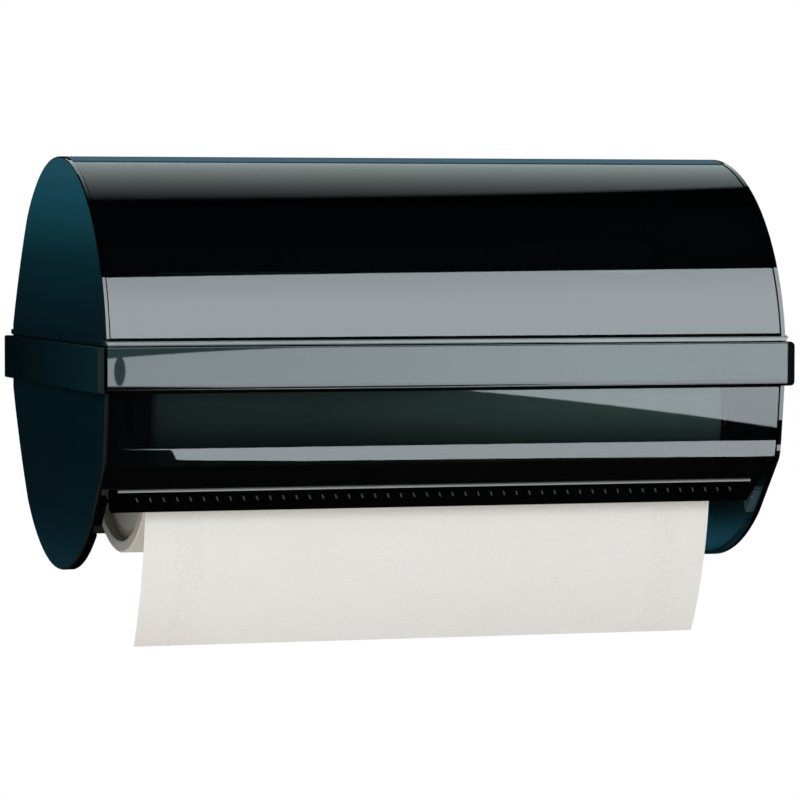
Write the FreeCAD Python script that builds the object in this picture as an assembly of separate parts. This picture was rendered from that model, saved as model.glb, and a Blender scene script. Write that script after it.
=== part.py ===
import FreeCAD, Part
import math
import os

# Wall-held drum dispenser for a wide paper roll.
# Pieces are modelled in the drum's own frame: X along the drum, Y from its axis to the wall, Z up.
# save() then moves them so that Y = 0 is the wall and the front faces -Y.

# Drum outline, seen from the end
drum_radius = 125.0
wall_gap = 1.0
rear_arc_start = 135.0
rear_bulge_setback = 13.0
rear_bulge_drop = 70.5
rear_flat_proud = 6.0
rear_flat_half = 20.0
crease_setback = 6.4
crease_rise = 78.5
kink_setback = 8.5
kink_rise = 68.0
kink_round = 14.0
chin_angle = -48.0

# End panels
drum_half_width = 211.4
panel_wall = 2.4
rim_wall = 2.0
rim_depth = 3.6
rim_rise = 26.0
seat_rib_wall = 2.0
seat_rib_depth = 5.0
seat_rib_from = 102.0
seat_rib_to = 130.0

# Raised belt and the ledge above it
belt_half_height = 13.3
part_line = 0.7
ledge_height = 3.2
ledge_proud = 1.2
side_belt_proud = 5.4
side_belt_setback = 2.4
belt_end_length = 24.0
belt_end_gap = 0.3
belt_edge_round = 1.2

# Hood
hood_side_gap = 0.7
shell_wall = 2.8
shell_front_angle = 80.7
shell_rear_setback = 1.0
shell_return_wall = 2.0
shell_return_gap = 1.0
shell_return_rise = 2.1
cover_inset = 0.6
cover_wall = 2.4
cover_seam = 0.5
tongue_wall = 2.0
tongue_reach = 4.3
tongue_grip = 3.2
cover_groove = 1.6
lip_height = 2.7
lip_setback = 0.6
belt_proud = 3.2
belt_overhang = 0.6
belt_wall = 2.6
belt_return_wall = 2.0
belt_return_inset = 0.4
belt_bottom_round = 2.4
belt_top_round = 0.8
skirt_wall = 2.0
skirt_setback = 3.2
skirt_gap_half = 2.0
skirt_root = 1.7
seat_clearance = 0.1
lower_cover_drop = 13.2

# Hood hinge at the rear
hinge_setback = 6.0
hinge_drop = 3.6
hinge_rod_radius = 2.0
hinge_ring_radius = 5.0
hinge_running_clearance = 0.06
hinge_spacing = 140.0
hinge_lug_width = 12.0
hinge_knuckle_width = 9.0
hinge_side_gap = 0.4
hinge_rod_overhang = 4.0

# Back plate
plate_wall = 2.5
plate_side_gap = 29.0
plate_top_drop = 45.0
plate_bottom_rise = 11.0
plate_bracket_wall = 2.4
plate_bracket_depth = 37.5
plate_bracket_half_height = 30.0
plate_bracket_foot = 46.0
plate_screw_inset = 38.0
plate_screw_z = 20.0
wall_hole_spacing_x = 300.0
wall_hole_spacing_z = 100.0
wall_hole_radius = 2.75

# Release buttons
button_y = -13.0
button_radius = 2.1
button_hole_clearance = 0.3
button_boss_wall = 0.9
button_boss_proud = 0.3
button_notch_clearance = 0.3
button_proud = 0.2
button_collar_radius = 3.1
button_collar_wall = 1.0
button_collar_gap = 0.1
button_dome = 0.7
latch_tip_gap = 0.2
latch_pin_radius = 3.45
latch_running_clearance = 0.05
latch_collar_radius = 4.0
latch_collar_wall = 1.5
latch_collar_gap = 0.2
latch_dome = 0.6
ear_wall = 2.0
ear_inset = 0.9
ear_half_height = 10.0
ear_foot_length = 19.0
ear_foot_wall = 2.2
cup_inner_radius = 4.3
cup_wall = 1.3
cup_depth = 11.6
cup_base = 1.2
latch_spring_wire = 0.3
latch_spring_radius = 3.3
latch_spring_turns = 6

# Paper roll and its hubs
roll_y = -19.0
roll_rise = 95.0
roll_front_space = 41.0
hub_space = 30.5
roll_ring_wall = 7.0
roll_ring_step = 5.0
core_outer_radius = 20.0
core_wall = 1.4
hub_clearance = 0.3
hub_engagement = 7.0
hub_flange_radius = 26.0
hub_flange_wall = 3.5
hub_flange_gap = 2.0
hub_tip_chamfer = 2.0
hub_base_radius = 24.0
hub_base_wall = 2.0
hub_stem_radius = 6.0
hub_stem_clearance = 0.05
hub_collar_radius = 7.2
hub_collar_wall = 1.7
hub_collar_gap = 0.3
hub_guide_radius = 9.5
hub_guide_bore = 7.5
hub_guide_neck = 4.5
hub_stroke = 8.0
hub_stroke_margin = 0.5
hub_skirt_radius = 16.5
hub_skirt_wall = 2.0
hub_skirt_length = 9.0
hub_spring_wire = 0.75
hub_spring_radius = 12.5
hub_spring_turns = 5
hub_tube_radius = 15.0
hub_tube_wall = 2.5
hub_rib_count = 6

# Tear bar
bar_setback = 16.0
bar_drop = 15.6
bar_run = 10.2
bar_fall = 12.4
bar_wall = 3.2
bar_end_taper = 4.0
tooth_end_margin = 15.0
tooth_pitch = 8.1
tooth_height = 3.2
tooth_width = 1.1
tooth_proud = 0.6
tooth_root = 0.2
tooth_from_top = 4.0
tooth_slant = 0.7
blade_wall = 1.2
blade_end_inset = 5.0
serration_pitch = 5.0
serration_depth = 2.6
boss_behind_bar = 1.8
boss_below_bar = 0.5
boss_radius = 11.0
boss_depth = 5.5
boss_inset = 2.0
boss_slot_width = 1.0
boss_slot_half_height = 5.5
boss_slot_depth = 1.2
boss_slot_offset = 1.5

# Hanging sheet of paper
sheet_side_inset = 0.5
sheet_wall = 0.5
sheet_roll_gap = 0.3
sheet_start_angle = -24.0
sheet_leave_angle = -38.0
sheet_bend_radius = 12.0
sheet_bend_angle = -30.0
sheet_hang_radius = 205.0
sheet_hang_angle = 24.0

# Screws
screw_radius = 1.3
screw_head_radius = 2.8
screw_head_height = 1.6
screw_fit = 0.05
screw_tip_cover = 1.0
belt_screw_margin = 42.0
belt_screw_pitch = 80.0
belt_screw_z = 7.5
belt_boss_radius = 3.0
ear_screw_inset = 10.4
side_screw_z = -5.0
side_screw_front_inset = 22.6
side_screw_mid_y = 45.0
side_screw_rear_inset = 13.0
hub_screw_circle = 19.5
hub_screw_count = 3
bar_pin_run = 6.9
bar_pin_fall = 5.0
bar_pin_reach = 14.0
bar_pin_radius = 1.0

# Small distances for picking edges and for letting a cut run past its piece
near = 0.01
overshoot = 1.0
far = 400.0

# Worked out from the sizes above: the outline and what follows it
rear_bulge_y = drum_radius - rear_bulge_setback
rear_bulge_z = drum_radius - rear_bulge_drop
rear_flat_y = drum_radius + rear_flat_proud
axis_to_wall = rear_flat_y + wall_gap
crease_y = crease_setback - drum_radius
crease_z = crease_rise - drum_radius
kink_y = kink_setback - drum_radius
kink_z = kink_rise - drum_radius
rim_top_z = rim_rise - drum_radius
side_belt_front_y = side_belt_setback - drum_radius
side_belt_rear_y = rear_flat_y - belt_end_length
belt_front_y = -drum_radius - belt_proud
skirt_front_y = skirt_setback - drum_radius
lower_cover_end_z = kink_z - lower_cover_drop
hinge_y = rear_bulge_y - hinge_setback
hinge_z = rear_bulge_z - hinge_drop
shell_rear_y = hinge_y - shell_rear_setback
shell_return_y = hinge_y - hinge_ring_radius - shell_return_gap
shell_return_low_z = hinge_z + shell_return_rise
plate_top_z = drum_radius - plate_top_drop
plate_bottom_z = plate_bottom_rise - drum_radius
roll_radius = drum_radius - roll_front_space
roll_z = roll_rise - drum_radius
bar_top_y = kink_y + bar_setback
bar_top_z = kink_z - bar_drop
bar_bottom_y = bar_top_y + bar_run
bar_bottom_z = bar_top_z - bar_fall
bar_pin_y = bar_top_y + bar_pin_run
bar_pin_z = bar_top_z - bar_pin_fall
boss_y = bar_bottom_y + boss_behind_bar
boss_z = bar_bottom_z - boss_below_bar
boss_slot_y = boss_y - boss_slot_offset
side_screw_front_y = side_belt_front_y + side_screw_front_inset
side_screw_rear_y = rear_flat_y - side_screw_rear_inset

# Worked out from the sizes above: the places along the drum
panel_inner_x = drum_half_width - panel_wall
plate_half_width = panel_inner_x - plate_side_gap
plate_screw_x = panel_inner_x - plate_screw_inset
roll_half_width = panel_inner_x - hub_space
sheet_half_width = roll_half_width - sheet_side_inset
belt_half_length = drum_half_width + belt_overhang
hood_half_length = panel_inner_x - hood_side_gap
ledge_bottom_z = belt_half_height + part_line
ledge_top_z = ledge_bottom_z + ledge_height
button_z = ledge_bottom_z + ledge_height / 2
side_belt_outer_x = drum_half_width + side_belt_proud
lip_top_z = ledge_bottom_z + lip_height
upper_cover_bottom_z = lip_top_z + cover_groove
skirt_rear_y = skirt_front_y + skirt_wall
belt_inner_y = belt_front_y + belt_wall
belt_return_y = skirt_front_y - seat_clearance
belt_return_half = hood_half_length - belt_return_inset
plate_front_y = axis_to_wall - plate_wall
plate_bracket_front_y = plate_front_y - plate_bracket_depth
ear_outer_x = hood_half_length - ear_inset
ear_inner_x = ear_outer_x - ear_wall
ear_screw_x = ear_outer_x - ear_screw_inset
button_inner_x = panel_inner_x - button_collar_gap - button_collar_wall
core_bore_radius = core_outer_radius - core_wall
nose_radius = core_bore_radius - hub_clearance
nose_tip_x = roll_half_width - hub_engagement
hub_flange_x = roll_half_width + hub_flange_gap
hub_flange_back_x = hub_flange_x + hub_flange_wall
hub_base_x = panel_inner_x - hub_base_wall
hub_guide_x = hub_flange_back_x + hub_stroke + hub_stroke_margin
hub_neck_end_x = hub_guide_x + hub_guide_neck
hub_collar_x = hub_neck_end_x + hub_collar_gap
boss_face_x = panel_inner_x - boss_depth
bar_half_length = boss_face_x
blade_half_length = bar_half_length - blade_end_inset
tooth_count = 2 * int((bar_half_length - tooth_end_margin) / tooth_pitch) + 1
belt_screw_end_x = belt_half_length - belt_screw_margin
belt_screw_offsets = (0.0, belt_screw_end_x - belt_screw_pitch, belt_screw_end_x)


def point(x, y, z):
    return FreeCAD.Vector(x, y, z)


def drum_point(radius, degrees):
    """A point of the drum's circle; the angle starts at the front and rises over the top."""
    turn = math.radians(degrees)
    return point(0, -radius * math.cos(turn), radius * math.sin(turn))


def block(x0, x1, y0, y1, z0, z1):
    return Part.makeBox(x1 - x0, y1 - y0, z1 - z0, point(x0, y0, z0))


def rod(x0, x1, y, z, radius):
    return Part.makeCylinder(radius, x1 - x0, point(x0, y, z), point(1, 0, 0))


def rod_y(y0, y1, x, z, radius):
    return Part.makeCylinder(radius, y1 - y0, point(x, y0, z), point(0, 1, 0))


def tube(x0, x1, y, z, outer, inner):
    return rod(x0, x1, y, z, outer).cut(rod(x0, x1, y, z, inner))


def prism(corners, x0, x1):
    """A straight bar along X with the given corners as its section."""
    ring = [point(x0, y, z) for y, z in corners]
    face = Part.Face(Part.makePolygon(ring + [ring[0]]))
    return face.extrude(point(x1 - x0, 0, 0))


def mirrored(shape):
    return shape.mirror(point(0, 0, 0), point(1, 0, 0))


def both_sides(shape):
    return [shape, mirrored(shape)]


def joined(first, *others):
    result = first
    for other in others:
        result = result.fuse(other)
    return result.removeSplitter()


def edges_where(shape, test):
    return [edge for edge in shape.Edges if test(edge.BoundBox)]


def save(name, *solids):
    """Moves the piece to the wall's frame and writes its file."""
    shape = solids[0] if len(solids) == 1 else Part.Compound(list(solids))
    shape = shape.copy()
    shape.translate(point(0, -axis_to_wall, 0))
    shape.exportStep("parts/" + name + ".step")
    print(name, len(shape.Solids), "solid(s)", round(shape.Volume / 1000.0, 2), "cm3", shape.isValid())


# Outline of the drum

def rounded_corner(before, corner, after, radius):
    """The two tangent points and the middle of an arc that rounds a corner."""
    back = (before - corner).normalize()
    ahead = (after - corner).normalize()
    half = back.getAngle(ahead) / 2
    reach = radius / math.tan(half)
    middle = (back + ahead).normalize()
    centre = corner + middle * (radius / math.sin(half))
    return corner + back * reach, centre - middle * radius, corner + ahead * reach


def outline_face(inset=0.0):
    front = drum_point(drum_radius, 0)
    top = drum_point(drum_radius, rear_arc_start / 2)
    rear_top = drum_point(drum_radius, rear_arc_start)
    rear_bottom = drum_point(drum_radius, -rear_arc_start)
    chin = drum_point(drum_radius, chin_angle)
    bottom = drum_point(drum_radius, (chin_angle - rear_arc_start) / 2)
    bulge_top = point(0, rear_bulge_y, rear_bulge_z)
    bulge_bottom = point(0, rear_bulge_y, -rear_bulge_z)
    flat_top = point(0, rear_flat_y, rear_flat_half)
    flat_bottom = point(0, rear_flat_y, -rear_flat_half)
    kink = point(0, kink_y, kink_z)
    crease = point(0, crease_y, crease_z)
    kink_low, kink_mid, kink_high = rounded_corner(chin, kink, crease, kink_round)
    edges = [
        Part.Arc(front, top, rear_top).toShape(),
        Part.Arc(rear_top, bulge_top, flat_top).toShape(),
        Part.makeLine(flat_top, flat_bottom),
        Part.Arc(flat_bottom, bulge_bottom, rear_bottom).toShape(),
        Part.Arc(rear_bottom, bottom, chin).toShape(),
        Part.makeLine(chin, kink_low),
        Part.Arc(kink_low, kink_mid, kink_high).toShape(),
        Part.makeLine(kink_high, crease),
        Part.makeLine(crease, front),
    ]
    face = Part.Face(Part.Wire(edges))
    if inset:
        face = face.makeOffset2D(-inset)
    return face


def outline_solid(inset, x0, x1):
    face = outline_face(inset)
    face.translate(point(x0, 0, 0))
    return face.extrude(point(x1 - x0, 0, 0))


def outline_ring(outer_inset, wall, x0, x1):
    return outline_solid(outer_inset, x0, x1).cut(outline_solid(outer_inset + wall, x0, x1))


def wedge(from_angle, to_angle, x0, x1):
    """The sector of the drum between two angles, for cutting rings to length."""
    middle = (from_angle + to_angle) / 2
    corners = [(0, 0)]
    for angle in (from_angle, middle, to_angle):
        corner = drum_point(far, angle)
        corners.append((corner.y, corner.z))
    return prism(corners, x0, x1)


# Screws: heads inside, shanks reaching out through the pieces they hold

def screw_x(head_x, tip_x, y, z):
    head = rod(head_x - screw_head_height, head_x, y, z, screw_head_radius)
    return joined(head, rod(head_x, tip_x, y, z, screw_radius))


def screw_hole_x(x0, x1, y, z):
    return rod(x0, x1, y, z, screw_radius + screw_fit)


def screw_y(head_y, tip_y, x, z):
    if tip_y < head_y:
        head = rod_y(head_y, head_y + screw_head_height, x, z, screw_head_radius)
        return joined(head, rod_y(tip_y, head_y, x, z, screw_radius))
    head = rod_y(head_y - screw_head_height, head_y, x, z, screw_head_radius)
    return joined(head, rod_y(head_y, tip_y, x, z, screw_radius))


def screw_hole_y(y0, y1, x, z):
    return rod_y(y0, y1, x, z, screw_radius + screw_fit)


def side_screw_places():
    return [(side_screw_front_y, panel_inner_x), (side_screw_mid_y, panel_inner_x),
            (side_screw_rear_y, panel_inner_x - plate_bracket_wall)]


def hub_screw_places():
    step = 360.0 / hub_screw_count
    turns = [math.radians(90.0 + step * number) for number in range(hub_screw_count)]
    return [(roll_y + hub_screw_circle * math.cos(turn), roll_z + hub_screw_circle * math.sin(turn))
            for turn in turns]


def belt_screw_places():
    rows = []
    for offset in belt_screw_offsets:
        for x in sorted({-offset, offset}):
            rows.append((x, belt_screw_z))
            rows.append((x, -belt_screw_z))
    return rows


# Housing

def end_panel():
    """The right-hand end panel; the left one is its mirror image."""
    plate = outline_solid(0, panel_inner_x, drum_half_width)
    ledge = block(drum_half_width, drum_half_width + ledge_proud, -far, far, ledge_bottom_z, ledge_top_z)
    ledge = ledge.common(outline_solid(0, drum_half_width, drum_half_width + ledge_proud))
    rim = outline_ring(0, rim_wall, panel_inner_x - rim_depth, panel_inner_x)
    rim = rim.common(block(0, far, -far, far, -far, rim_top_z))
    seat_inset = shell_wall + hub_clearance
    seat = outline_ring(seat_inset, seat_rib_wall, panel_inner_x - seat_rib_depth, panel_inner_x)
    seat = seat.common(wedge(seat_rib_from, seat_rib_to, 0, far))
    boss_x = drum_half_width + ledge_proud + button_boss_proud
    hole_radius = button_radius + button_hole_clearance
    boss = rod(drum_half_width, boss_x, button_y, button_z, hole_radius + button_boss_wall)
    panel = joined(plate, ledge, rim, seat, boss)
    panel = panel.cut(rod(0, far, button_y, button_z, hole_radius))
    for y, head_x in side_screw_places():
        panel = panel.cut(screw_hole_x(head_x, drum_half_width, y, side_screw_z))
    for y, z in hub_screw_places():
        panel = panel.cut(screw_hole_x(0, drum_half_width - screw_tip_cover, y, z))
    return panel


def side_belt():
    belt = block(drum_half_width, side_belt_outer_x, side_belt_front_y, side_belt_rear_y,
                 -belt_half_height, belt_half_height)
    front_y = side_belt_rear_y - overshoot
    outer = edges_where(belt, lambda box: box.XMin > side_belt_outer_x - near and box.YMin < front_y)
    belt = belt.makeFillet(belt_edge_round, outer)
    notch = button_radius + button_hole_clearance + button_boss_wall + button_notch_clearance
    belt = belt.cut(rod(0, far, button_y, button_z, notch))
    for y, head_x in side_screw_places()[:2]:
        belt = belt.cut(screw_hole_x(head_x, side_belt_outer_x - screw_tip_cover, y, side_screw_z))
    return belt


def belt_end():
    end = block(drum_half_width, side_belt_outer_x, side_belt_rear_y + belt_end_gap, rear_flat_y,
                -belt_half_height, belt_half_height)
    outer = edges_where(end, lambda box: box.XMin > side_belt_outer_x - near and box.YLength > overshoot)
    end = end.makeFillet(belt_edge_round, outer)
    return end.cut(screw_hole_x(0, side_belt_outer_x - screw_tip_cover, side_screw_rear_y, side_screw_z))


def side_screws():
    tip_x = side_belt_outer_x - screw_tip_cover
    screws = [screw_x(head_x, tip_x, y, side_screw_z) for y, head_x in side_screw_places()]
    return screws + [mirrored(screw) for screw in screws]


def hinge_lug(x):
    half = hinge_lug_width / 2
    ring = rod(x - half, x + half, hinge_y, hinge_z, hinge_ring_radius)
    arm_top = hinge_z + hinge_rod_radius / 2
    arm_foot = hinge_z - 3 * hinge_ring_radius
    arm = prism([(hinge_y, arm_top), (plate_front_y, arm_top), (plate_front_y, arm_foot),
                 (hinge_y, hinge_z - hinge_ring_radius)], x - half, x + half)
    return joined(ring, arm).cut(rod(-far, far, hinge_y, hinge_z, hinge_rod_radius))


def plate_screw_places():
    return [(x, z) for x in (-plate_screw_x, plate_screw_x) for z in (-plate_screw_z, plate_screw_z)]


def back_plate():
    plate = block(-plate_half_width, plate_half_width, plate_front_y, axis_to_wall,
                  plate_bottom_z, plate_top_z)
    before = plate_front_y - overshoot
    for x in (-wall_hole_spacing_x / 2, wall_hole_spacing_x / 2):
        for z in (-wall_hole_spacing_z / 2, wall_hole_spacing_z / 2):
            plate = plate.cut(rod_y(before, axis_to_wall + overshoot, x, z, wall_hole_radius))
    for x, z in plate_screw_places():
        plate = plate.cut(screw_hole_y(before, axis_to_wall - screw_tip_cover, x, z))
    return plate


def plate_bracket():
    """The right-hand angle bracket between the back plate and the end panel."""
    flange = block(panel_inner_x - plate_bracket_wall, panel_inner_x, plate_bracket_front_y, plate_front_y,
                   -plate_bracket_half_height, plate_bracket_half_height)
    foot = block(panel_inner_x - plate_bracket_foot, panel_inner_x, plate_front_y - plate_bracket_wall,
                 plate_front_y, -plate_bracket_half_height, plate_bracket_half_height)
    bracket = joined(flange, foot)
    bracket = bracket.cut(screw_hole_x(0, far, side_screw_rear_y, side_screw_z))
    for x, z in plate_screw_places():
        bracket = bracket.cut(screw_hole_y(0, far, x, z))
    return bracket


def plate_screws():
    head_y = plate_front_y - plate_bracket_wall
    return [screw_y(head_y, axis_to_wall - screw_tip_cover, x, z) for x, z in plate_screw_places()]


def hinge_rod():
    reach = hinge_spacing + hinge_lug_width / 2 + hinge_side_gap + hinge_knuckle_width + hinge_rod_overhang
    return rod(-reach, reach, hinge_y, hinge_z, hinge_rod_radius)


# Tear bar

bar_down = point(0, bar_bottom_y - bar_top_y, bar_bottom_z - bar_top_z).normalize()
bar_in = point(0, -bar_down.z, bar_down.y)
bar_height = point(0, bar_bottom_y - bar_top_y, bar_bottom_z - bar_top_z).Length


def bar_place(down, inward):
    """A point of the bar's section, measured from its upper front edge."""
    place = point(0, bar_top_y, bar_top_z) + bar_down * down + bar_in * inward
    return place.y, place.z


def tear_tooth(x):
    top = tooth_from_top
    foot = tooth_from_top + tooth_height
    half = tooth_width / 2
    corners = []
    for down, shift in ((top, -half - tooth_slant), (top, half - tooth_slant),
                        (foot, half + tooth_slant), (foot, -half + tooth_slant)):
        y, z = bar_place(down, tooth_root)
        corners.append(point(x + shift, y, z))
    face = Part.Face(Part.makePolygon(corners + [corners[0]]))
    return face.extrude(bar_in * -(tooth_proud + tooth_root))


def tear_bar():
    corners = [bar_place(down, inward_by) for down, inward_by in
               ((0, 0), (bar_height, 0), (bar_height, bar_wall), (0, bar_wall))]
    bar = prism(corners, -bar_half_length, bar_half_length)
    first = -tooth_pitch * (tooth_count - 1) / 2
    teeth = [tear_tooth(first + tooth_pitch * number) for number in range(tooth_count)]
    bar = bar.fuse(teeth).removeSplitter()
    low = bar_bottom_z - bar_wall
    tip = point(bar_half_length, -far, bar_top_z)
    slope = Part.makePolygon([tip, point(bar_half_length - bar_end_taper, -far, low),
                              point(bar_half_length + overshoot, -far, low), tip])
    for wedge_cut in both_sides(Part.Face(slope).extrude(point(0, far, 0))):
        bar = bar.cut(wedge_cut)
    for hole in both_sides(rod(bar_half_length - bar_pin_reach, far, bar_pin_y, bar_pin_z,
                               bar_pin_radius + screw_fit)):
        bar = bar.cut(hole)
    return bar


def tear_blade():
    """A steel strip hooked over the bar's upper edge, with saw teeth at its lower edge."""
    hook = prism([bar_place(-blade_wall, 0), bar_place(0, 0), bar_place(0, bar_wall + blade_wall),
                  bar_place(-blade_wall, bar_wall + blade_wall)], -blade_half_length, blade_half_length)
    count = int(2 * blade_half_length / serration_pitch)
    start = -count * serration_pitch / 2
    y, z = bar_place(-blade_wall, bar_wall)
    corners = [point(-blade_half_length, y, z), point(blade_half_length, y, z)]
    root_y, root_z = bar_place(bar_height - serration_depth, bar_wall)
    tip_y, tip_z = bar_place(bar_height, bar_wall)
    corners.append(point(blade_half_length, root_y, root_z))
    for number in range(count, -1, -1):
        corners.append(point(start + number * serration_pitch - near * (number == count), root_y, root_z))
        if number:
            corners.append(point(start + (number - 0.5) * serration_pitch, tip_y, tip_z))
    corners.append(point(-blade_half_length, root_y, root_z))
    face = Part.Face(Part.makePolygon(corners + [corners[0]]))
    return joined(hook, face.extrude(bar_in * blade_wall))


def bar_boss():
    """The right-hand round boss on the end panel that the tear bar's end is pinned to."""
    boss = rod(boss_face_x, panel_inner_x, boss_y, boss_z, boss_radius)
    boss = boss.common(outline_solid(boss_inset, boss_face_x, panel_inner_x))
    slot_y = boss_slot_y - boss_slot_width / 2
    boss = boss.cut(block(boss_face_x, boss_face_x + boss_slot_depth, slot_y, slot_y + boss_slot_width,
                          boss_z - boss_slot_half_height, boss_z + boss_slot_half_height))
    return boss.cut(rod(0, far, bar_pin_y, bar_pin_z, bar_pin_radius + screw_fit))


def bar_pins():
    start_x = bar_half_length - bar_pin_reach + overshoot
    return both_sides(rod(start_x, panel_inner_x, bar_pin_y, bar_pin_z, bar_pin_radius))


# Hood

def knuckle(x):
    ring = rod(x, x + hinge_knuckle_width, hinge_y, hinge_z, hinge_ring_radius)
    shell_low = shell_rear_y - 2 * hinge_ring_radius
    web = prism([(hinge_y - hinge_ring_radius, hinge_z), (hinge_y - hinge_rod_radius, hinge_z),
                 (shell_rear_y, rear_bulge_z + hinge_ring_radius), (shell_rear_y, far), (shell_low, far)],
                x, x + hinge_knuckle_width)
    web = web.common(outline_solid(shell_wall / 2, x, x + hinge_knuckle_width))
    return joined(ring, web)


def shell_return():
    """The flange that turns down in front of the hinge and stiffens the shell's rear edge."""
    flange = block(-hood_half_length, hood_half_length, shell_return_y - shell_return_wall, shell_return_y,
                   shell_return_low_z, far)
    return flange.common(outline_solid(shell_wall / 2, -hood_half_length, hood_half_length))


def top_shell():
    shell = outline_ring(0, shell_wall, -hood_half_length, hood_half_length)
    shell = shell.common(wedge(shell_front_angle, 180, -far, far))
    shell = shell.common(block(-far, far, -far, shell_rear_y, 0, far))
    shell = joined(shell, shell_return())
    for centre in (-hinge_spacing, 0, hinge_spacing):
        beside = hinge_lug_width / 2 + hinge_side_gap
        shell = joined(shell, knuckle(centre + beside), knuckle(centre - beside - hinge_knuckle_width))
    return shell.cut(rod(-far, far, hinge_y, hinge_z, hinge_rod_radius + hinge_running_clearance))


def cover_skirt(z0, z1):
    return block(-hood_half_length, hood_half_length, skirt_front_y, skirt_rear_y, z0, z1)


def upper_cover():
    seam = math.degrees(cover_seam / drum_radius)
    skin = outline_ring(cover_inset, cover_wall, -hood_half_length, hood_half_length)
    skin = skin.common(wedge(0, shell_front_angle - seam, -far, far))
    skin = skin.common(block(-far, far, -far, far, upper_cover_bottom_z, far))
    grip = math.degrees(tongue_grip / drum_radius)
    reach = math.degrees(tongue_reach / drum_radius)
    tongue_inset = shell_wall + seat_clearance
    tongue = outline_ring(tongue_inset, tongue_wall, -hood_half_length, hood_half_length)
    tongue = tongue.common(wedge(shell_front_angle - grip, shell_front_angle + reach, -far, far))
    skirt = cover_skirt(skirt_gap_half, upper_cover_bottom_z + skirt_root)
    cover = joined(skin, tongue, skirt)
    for x, z in belt_screw_places() + [(-ear_screw_x, belt_screw_z), (ear_screw_x, belt_screw_z)]:
        if z > 0:
            cover = cover.cut(screw_hole_y(-far, 0, x, z))
    return cover


def lower_cover():
    skin = outline_ring(cover_inset, cover_wall, -hood_half_length, hood_half_length)
    skin = skin.common(block(-far, far, -far, 0, lower_cover_end_z, -ledge_bottom_z))
    skirt = cover_skirt(-ledge_bottom_z - skirt_root, -skirt_gap_half)
    cover = joined(skin, skirt)
    for x, z in belt_screw_places():
        if z < 0:
            cover = cover.cut(screw_hole_y(-far, 0, x, z))
    return cover


def belt_bosses():
    places = belt_screw_places() + [(-ear_screw_x, belt_screw_z), (ear_screw_x, belt_screw_z)]
    start_y = belt_inner_y - seat_clearance
    return [rod_y(start_y, belt_return_y, x, z, belt_boss_radius) for x, z in places]


def cover_belt():
    wall = block(-belt_half_length, belt_half_length, belt_front_y, belt_inner_y,
                 -belt_half_height, belt_half_height)
    front_y, top_z = belt_front_y + near, belt_half_height - near
    bottom = edges_where(wall, lambda box: box.ZMax < 0 and box.YMax < front_y and box.XLength > overshoot)
    wall = wall.makeFillet(belt_bottom_round, bottom)
    top = edges_where(wall, lambda box: box.ZMin > top_z and box.YMax < front_y and box.XLength > overshoot)
    wall = wall.makeFillet(belt_top_round, top)
    returns = []
    for z0, z1 in ((belt_half_height - belt_return_wall, belt_half_height),
                   (-belt_half_height, -belt_half_height + belt_return_wall)):
        returns.append(block(-belt_return_half, belt_return_half, belt_inner_y, belt_return_y, z0, z1))
    belt = joined(wall, *returns, *belt_bosses())
    for x, z in belt_screw_places() + [(-ear_screw_x, belt_screw_z), (ear_screw_x, belt_screw_z)]:
        belt = belt.cut(screw_hole_y(belt_front_y + screw_tip_cover, 0, x, z))
    return belt


def belt_lip():
    front = belt_front_y + lip_setback
    strip = block(-belt_half_length, belt_half_length, front, belt_inner_y, ledge_bottom_z, lip_top_z)
    inner = block(-belt_return_half, belt_return_half, belt_inner_y, belt_return_y, ledge_bottom_z, lip_top_z)
    lip = joined(strip, inner)
    for x_sign in (-1, 1):
        tip = x_sign * (belt_half_length - lip_height / 2)
        cut = Part.Face(Part.makePolygon([
            point(x_sign * belt_half_length, -far, lip_top_z), point(tip, -far, ledge_bottom_z),
            point(x_sign * (belt_half_length + overshoot), -far, ledge_bottom_z),
            point(x_sign * belt_half_length, -far, lip_top_z)]))
        lip = lip.cut(cut.extrude(point(0, 2 * far, 0)))
    return lip


def ear():
    """The right-hand ear: an arm behind the belt that carries the latch pin."""
    z0 = button_z - ear_half_height
    z1 = button_z + ear_half_height
    arm = block(ear_inner_x, ear_outer_x, skirt_rear_y, button_y, z0, z1)
    tip = rod(ear_inner_x, ear_outer_x, button_y, button_z, ear_half_height)
    foot = block(ear_outer_x - ear_foot_length, ear_outer_x, skirt_rear_y, skirt_rear_y + ear_foot_wall,
                 z0, upper_cover_bottom_z)
    piece = joined(arm, tip, foot)
    piece = piece.common(outline_solid(cover_inset + cover_wall + seat_clearance, 0, far))
    piece = piece.cut(rod(0, far, button_y, button_z, latch_pin_radius + latch_running_clearance))
    return piece.cut(screw_hole_y(-far, 0, ear_screw_x, belt_screw_z))


def belt_screws():
    tip_y = belt_front_y + screw_tip_cover
    screws = [screw_y(skirt_rear_y, tip_y, x, z) for x, z in belt_screw_places()]
    for x in (-ear_screw_x, ear_screw_x):
        screws.append(screw_y(skirt_rear_y + ear_foot_wall, tip_y, x, belt_screw_z))
    return screws


def latch_cup():
    start = ear_inner_x - cup_depth - cup_base
    cup = rod(start, ear_inner_x, button_y, button_z, cup_inner_radius + cup_wall)
    return cup.cut(rod(start + cup_base, ear_inner_x, button_y, button_z, cup_inner_radius))


def release_button():
    tip_x = drum_half_width + ledge_proud + button_proud
    shank = rod(button_inner_x, tip_x, button_y, button_z, button_radius)
    rim = edges_where(shank, lambda box: box.XMin > tip_x - near)
    shank = shank.makeFillet(button_dome, rim)
    collar = rod(button_inner_x, button_inner_x + button_collar_wall, button_y, button_z,
                 button_collar_radius)
    return joined(shank, collar)


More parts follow.
